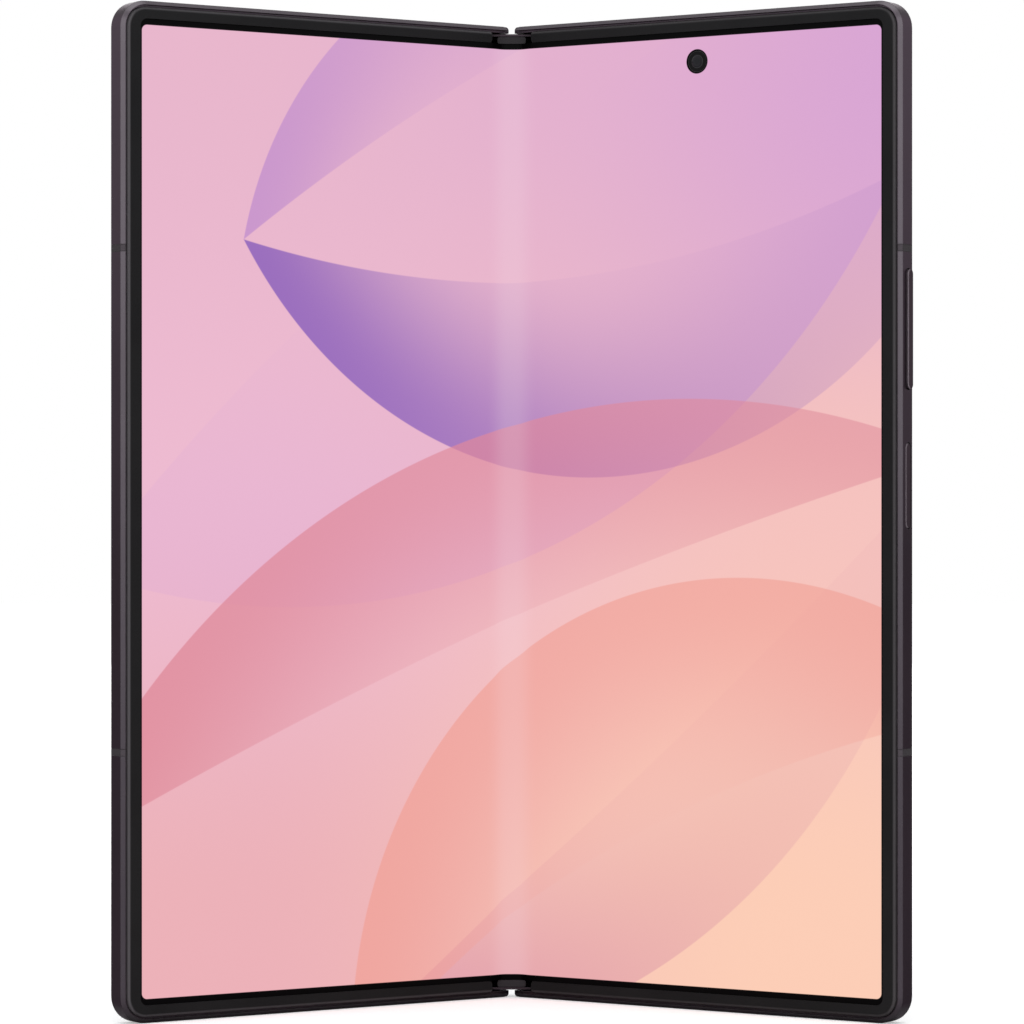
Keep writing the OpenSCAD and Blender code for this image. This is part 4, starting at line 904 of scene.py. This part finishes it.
# contact pads on both faces of the charging port's tongue
PADS = 12
PAD_PITCH = 0.5
PAD_W = 0.28
PAD_T = 0.04
PAD_RUN = (1.9, 5.2)
TONGUE_FACE = 0.355
bm = bmesh.new()
for side in (1, -1):
    for k in range(PADS):
        s = PORT_S + (k - (PADS - 1) / 2) * PAD_PITCH
        n = -PORT_N + side * TONGUE_FACE
        block(bm, (s - PAD_W / 2, PAD_RUN[0], n - PAD_T / 2), (s + PAD_W / 2, PAD_RUN[1], n + PAD_T / 2),
              RIGHT, 0.006)
ride(make("port_contacts", bm, [gold]))

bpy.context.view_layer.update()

# ---------- camera, light and floor ----------

# focal length, the picture's side and the phone's middle in it, in pixels
FOCAL_PX = 4284.85
FRAME_PX = 1024.0
OBJECT_PX = (511.65, 511.9)
SENSOR = 36.0
CAMERA_Y = FOLD_Y - 699.5

cam_data = bpy.data.cameras.new("camera")
cam = bpy.data.objects.new("camera", cam_data)
bpy.context.scene.collection.objects.link(cam)
cam_data.sensor_width = SENSOR
cam_data.lens = SENSOR * FOCAL_PX / FRAME_PX
cam_data.shift_x = (FRAME_PX / 2 - OBJECT_PX[0]) / FRAME_PX
cam_data.shift_y = (OBJECT_PX[1] - FRAME_PX / 2) / FRAME_PX
cam_data.clip_start = 0.05
cam_data.clip_end = 20.0
cam.location = (0.0, CAMERA_Y * MM, BODY_H / 2 * MM)
cam.rotation_euler = (math.radians(90), 0.0, 0.0)
bpy.context.scene.camera = cam


# soft lamps that look at the phone: name, place, width, height and power
LAMPS = [
    ("top_soft", (0.0, -0.15, 1.2), 1.2, 0.9, 6.0),
    ("front_soft", (0.0, -1.7, 0.5), 2.6, 1.8, 9.0),
    ("left_soft", (-1.2, -0.3, 0.4), 0.9, 0.9, 0.8),
    ("right_soft", (1.2, -0.3, 0.4), 0.9, 0.9, 0.8),
    ("back_soft", (0.0, 1.4, 0.5), 1.4, 1.0, 6.0),
]
PHONE_MIDDLE = Vector((0.0, 0.0, 0.08))
for name, place, width, height, power in LAMPS:
    data = bpy.data.lights.new(name, "AREA")
    data.shape = "RECTANGLE"
    data.size, data.size_y = width, height
    data.energy = power
    lamp = bpy.data.objects.new(name, data)
    bpy.context.scene.collection.objects.link(lamp)
    lamp.location = place
    lamp.rotation_euler = (PHONE_MIDDLE - Vector(place)).to_track_quat("-Z", "Y").to_euler()

scene = bpy.context.scene
scene.view_settings.view_transform = "Standard"
world = bpy.data.worlds.new("studio")
scene.world = world
world.use_nodes = True
wt = world.node_tree
wt.nodes.clear()


def sky(color, strength):
    n = wt.nodes.new("ShaderNodeBackground")
    n.inputs["Color"].default_value = color
    n.inputs["Strength"].default_value = strength
    return n.outputs[0]


# soft light, and plain white where the sky itself is seen, through glass or in a reflection
soft = sky((0.97, 0.98, 1.0, 1.0), 0.55)
white = sky((1.0, 1.0, 1.0, 1.0), 1.0)
rays = wt.nodes.new("ShaderNodeLightPath")
shown = rays.outputs["Is Camera Ray"]
for kind in ("Is Transmission Ray", "Is Glossy Ray"):
    either = wt.nodes.new("ShaderNodeMath")
    either.operation = "MAXIMUM"
    wt.links.new(shown, either.inputs[0])
    wt.links.new(rays.outputs[kind], either.inputs[1])
    shown = either.outputs[0]
pick = wt.nodes.new("ShaderNodeMixShader")
for socket, source in zip(pick.inputs, (shown, soft, white)):
    wt.links.new(source, socket)
wt.links.new(pick.outputs[0], wt.nodes.new("ShaderNodeOutputWorld").inputs["Surface"])

# floor: plain and pale, seen white, and it keeps the phone's soft shadow
FLOOR_HALF = 3.0
FLOOR_Z = -0.00002
bm = bmesh.new()
bm.faces.new([bm.verts.new((x * FLOOR_HALF, y * FLOOR_HALF, FLOOR_Z))
              for x, y in ((-1, -1), (1, -1), (1, 1), (-1, 1))])
fs = Shade("floor")
rays = fs.node("ShaderNodeLightPath")
span = fs.node("ShaderNodeVectorMath", operation="LENGTH")
fs.link(fs.coords(), span.inputs[0])
# the glow fades near the phone, where the shadow falls
glow = fs.ramp(span.outputs["Value"], 0.12, 0.7, 0.38, 0.62)
fs.set(color=(0.82, 0.82, 0.82, 1.0), rough=0.9, spec=0.2, glow=(1.0, 1.0, 1.0, 1.0),
       glow_strength=fs.math("MULTIPLY", rays.outputs["Is Camera Ray"], glow))
floor = make("floor", bm, [fs.mat])
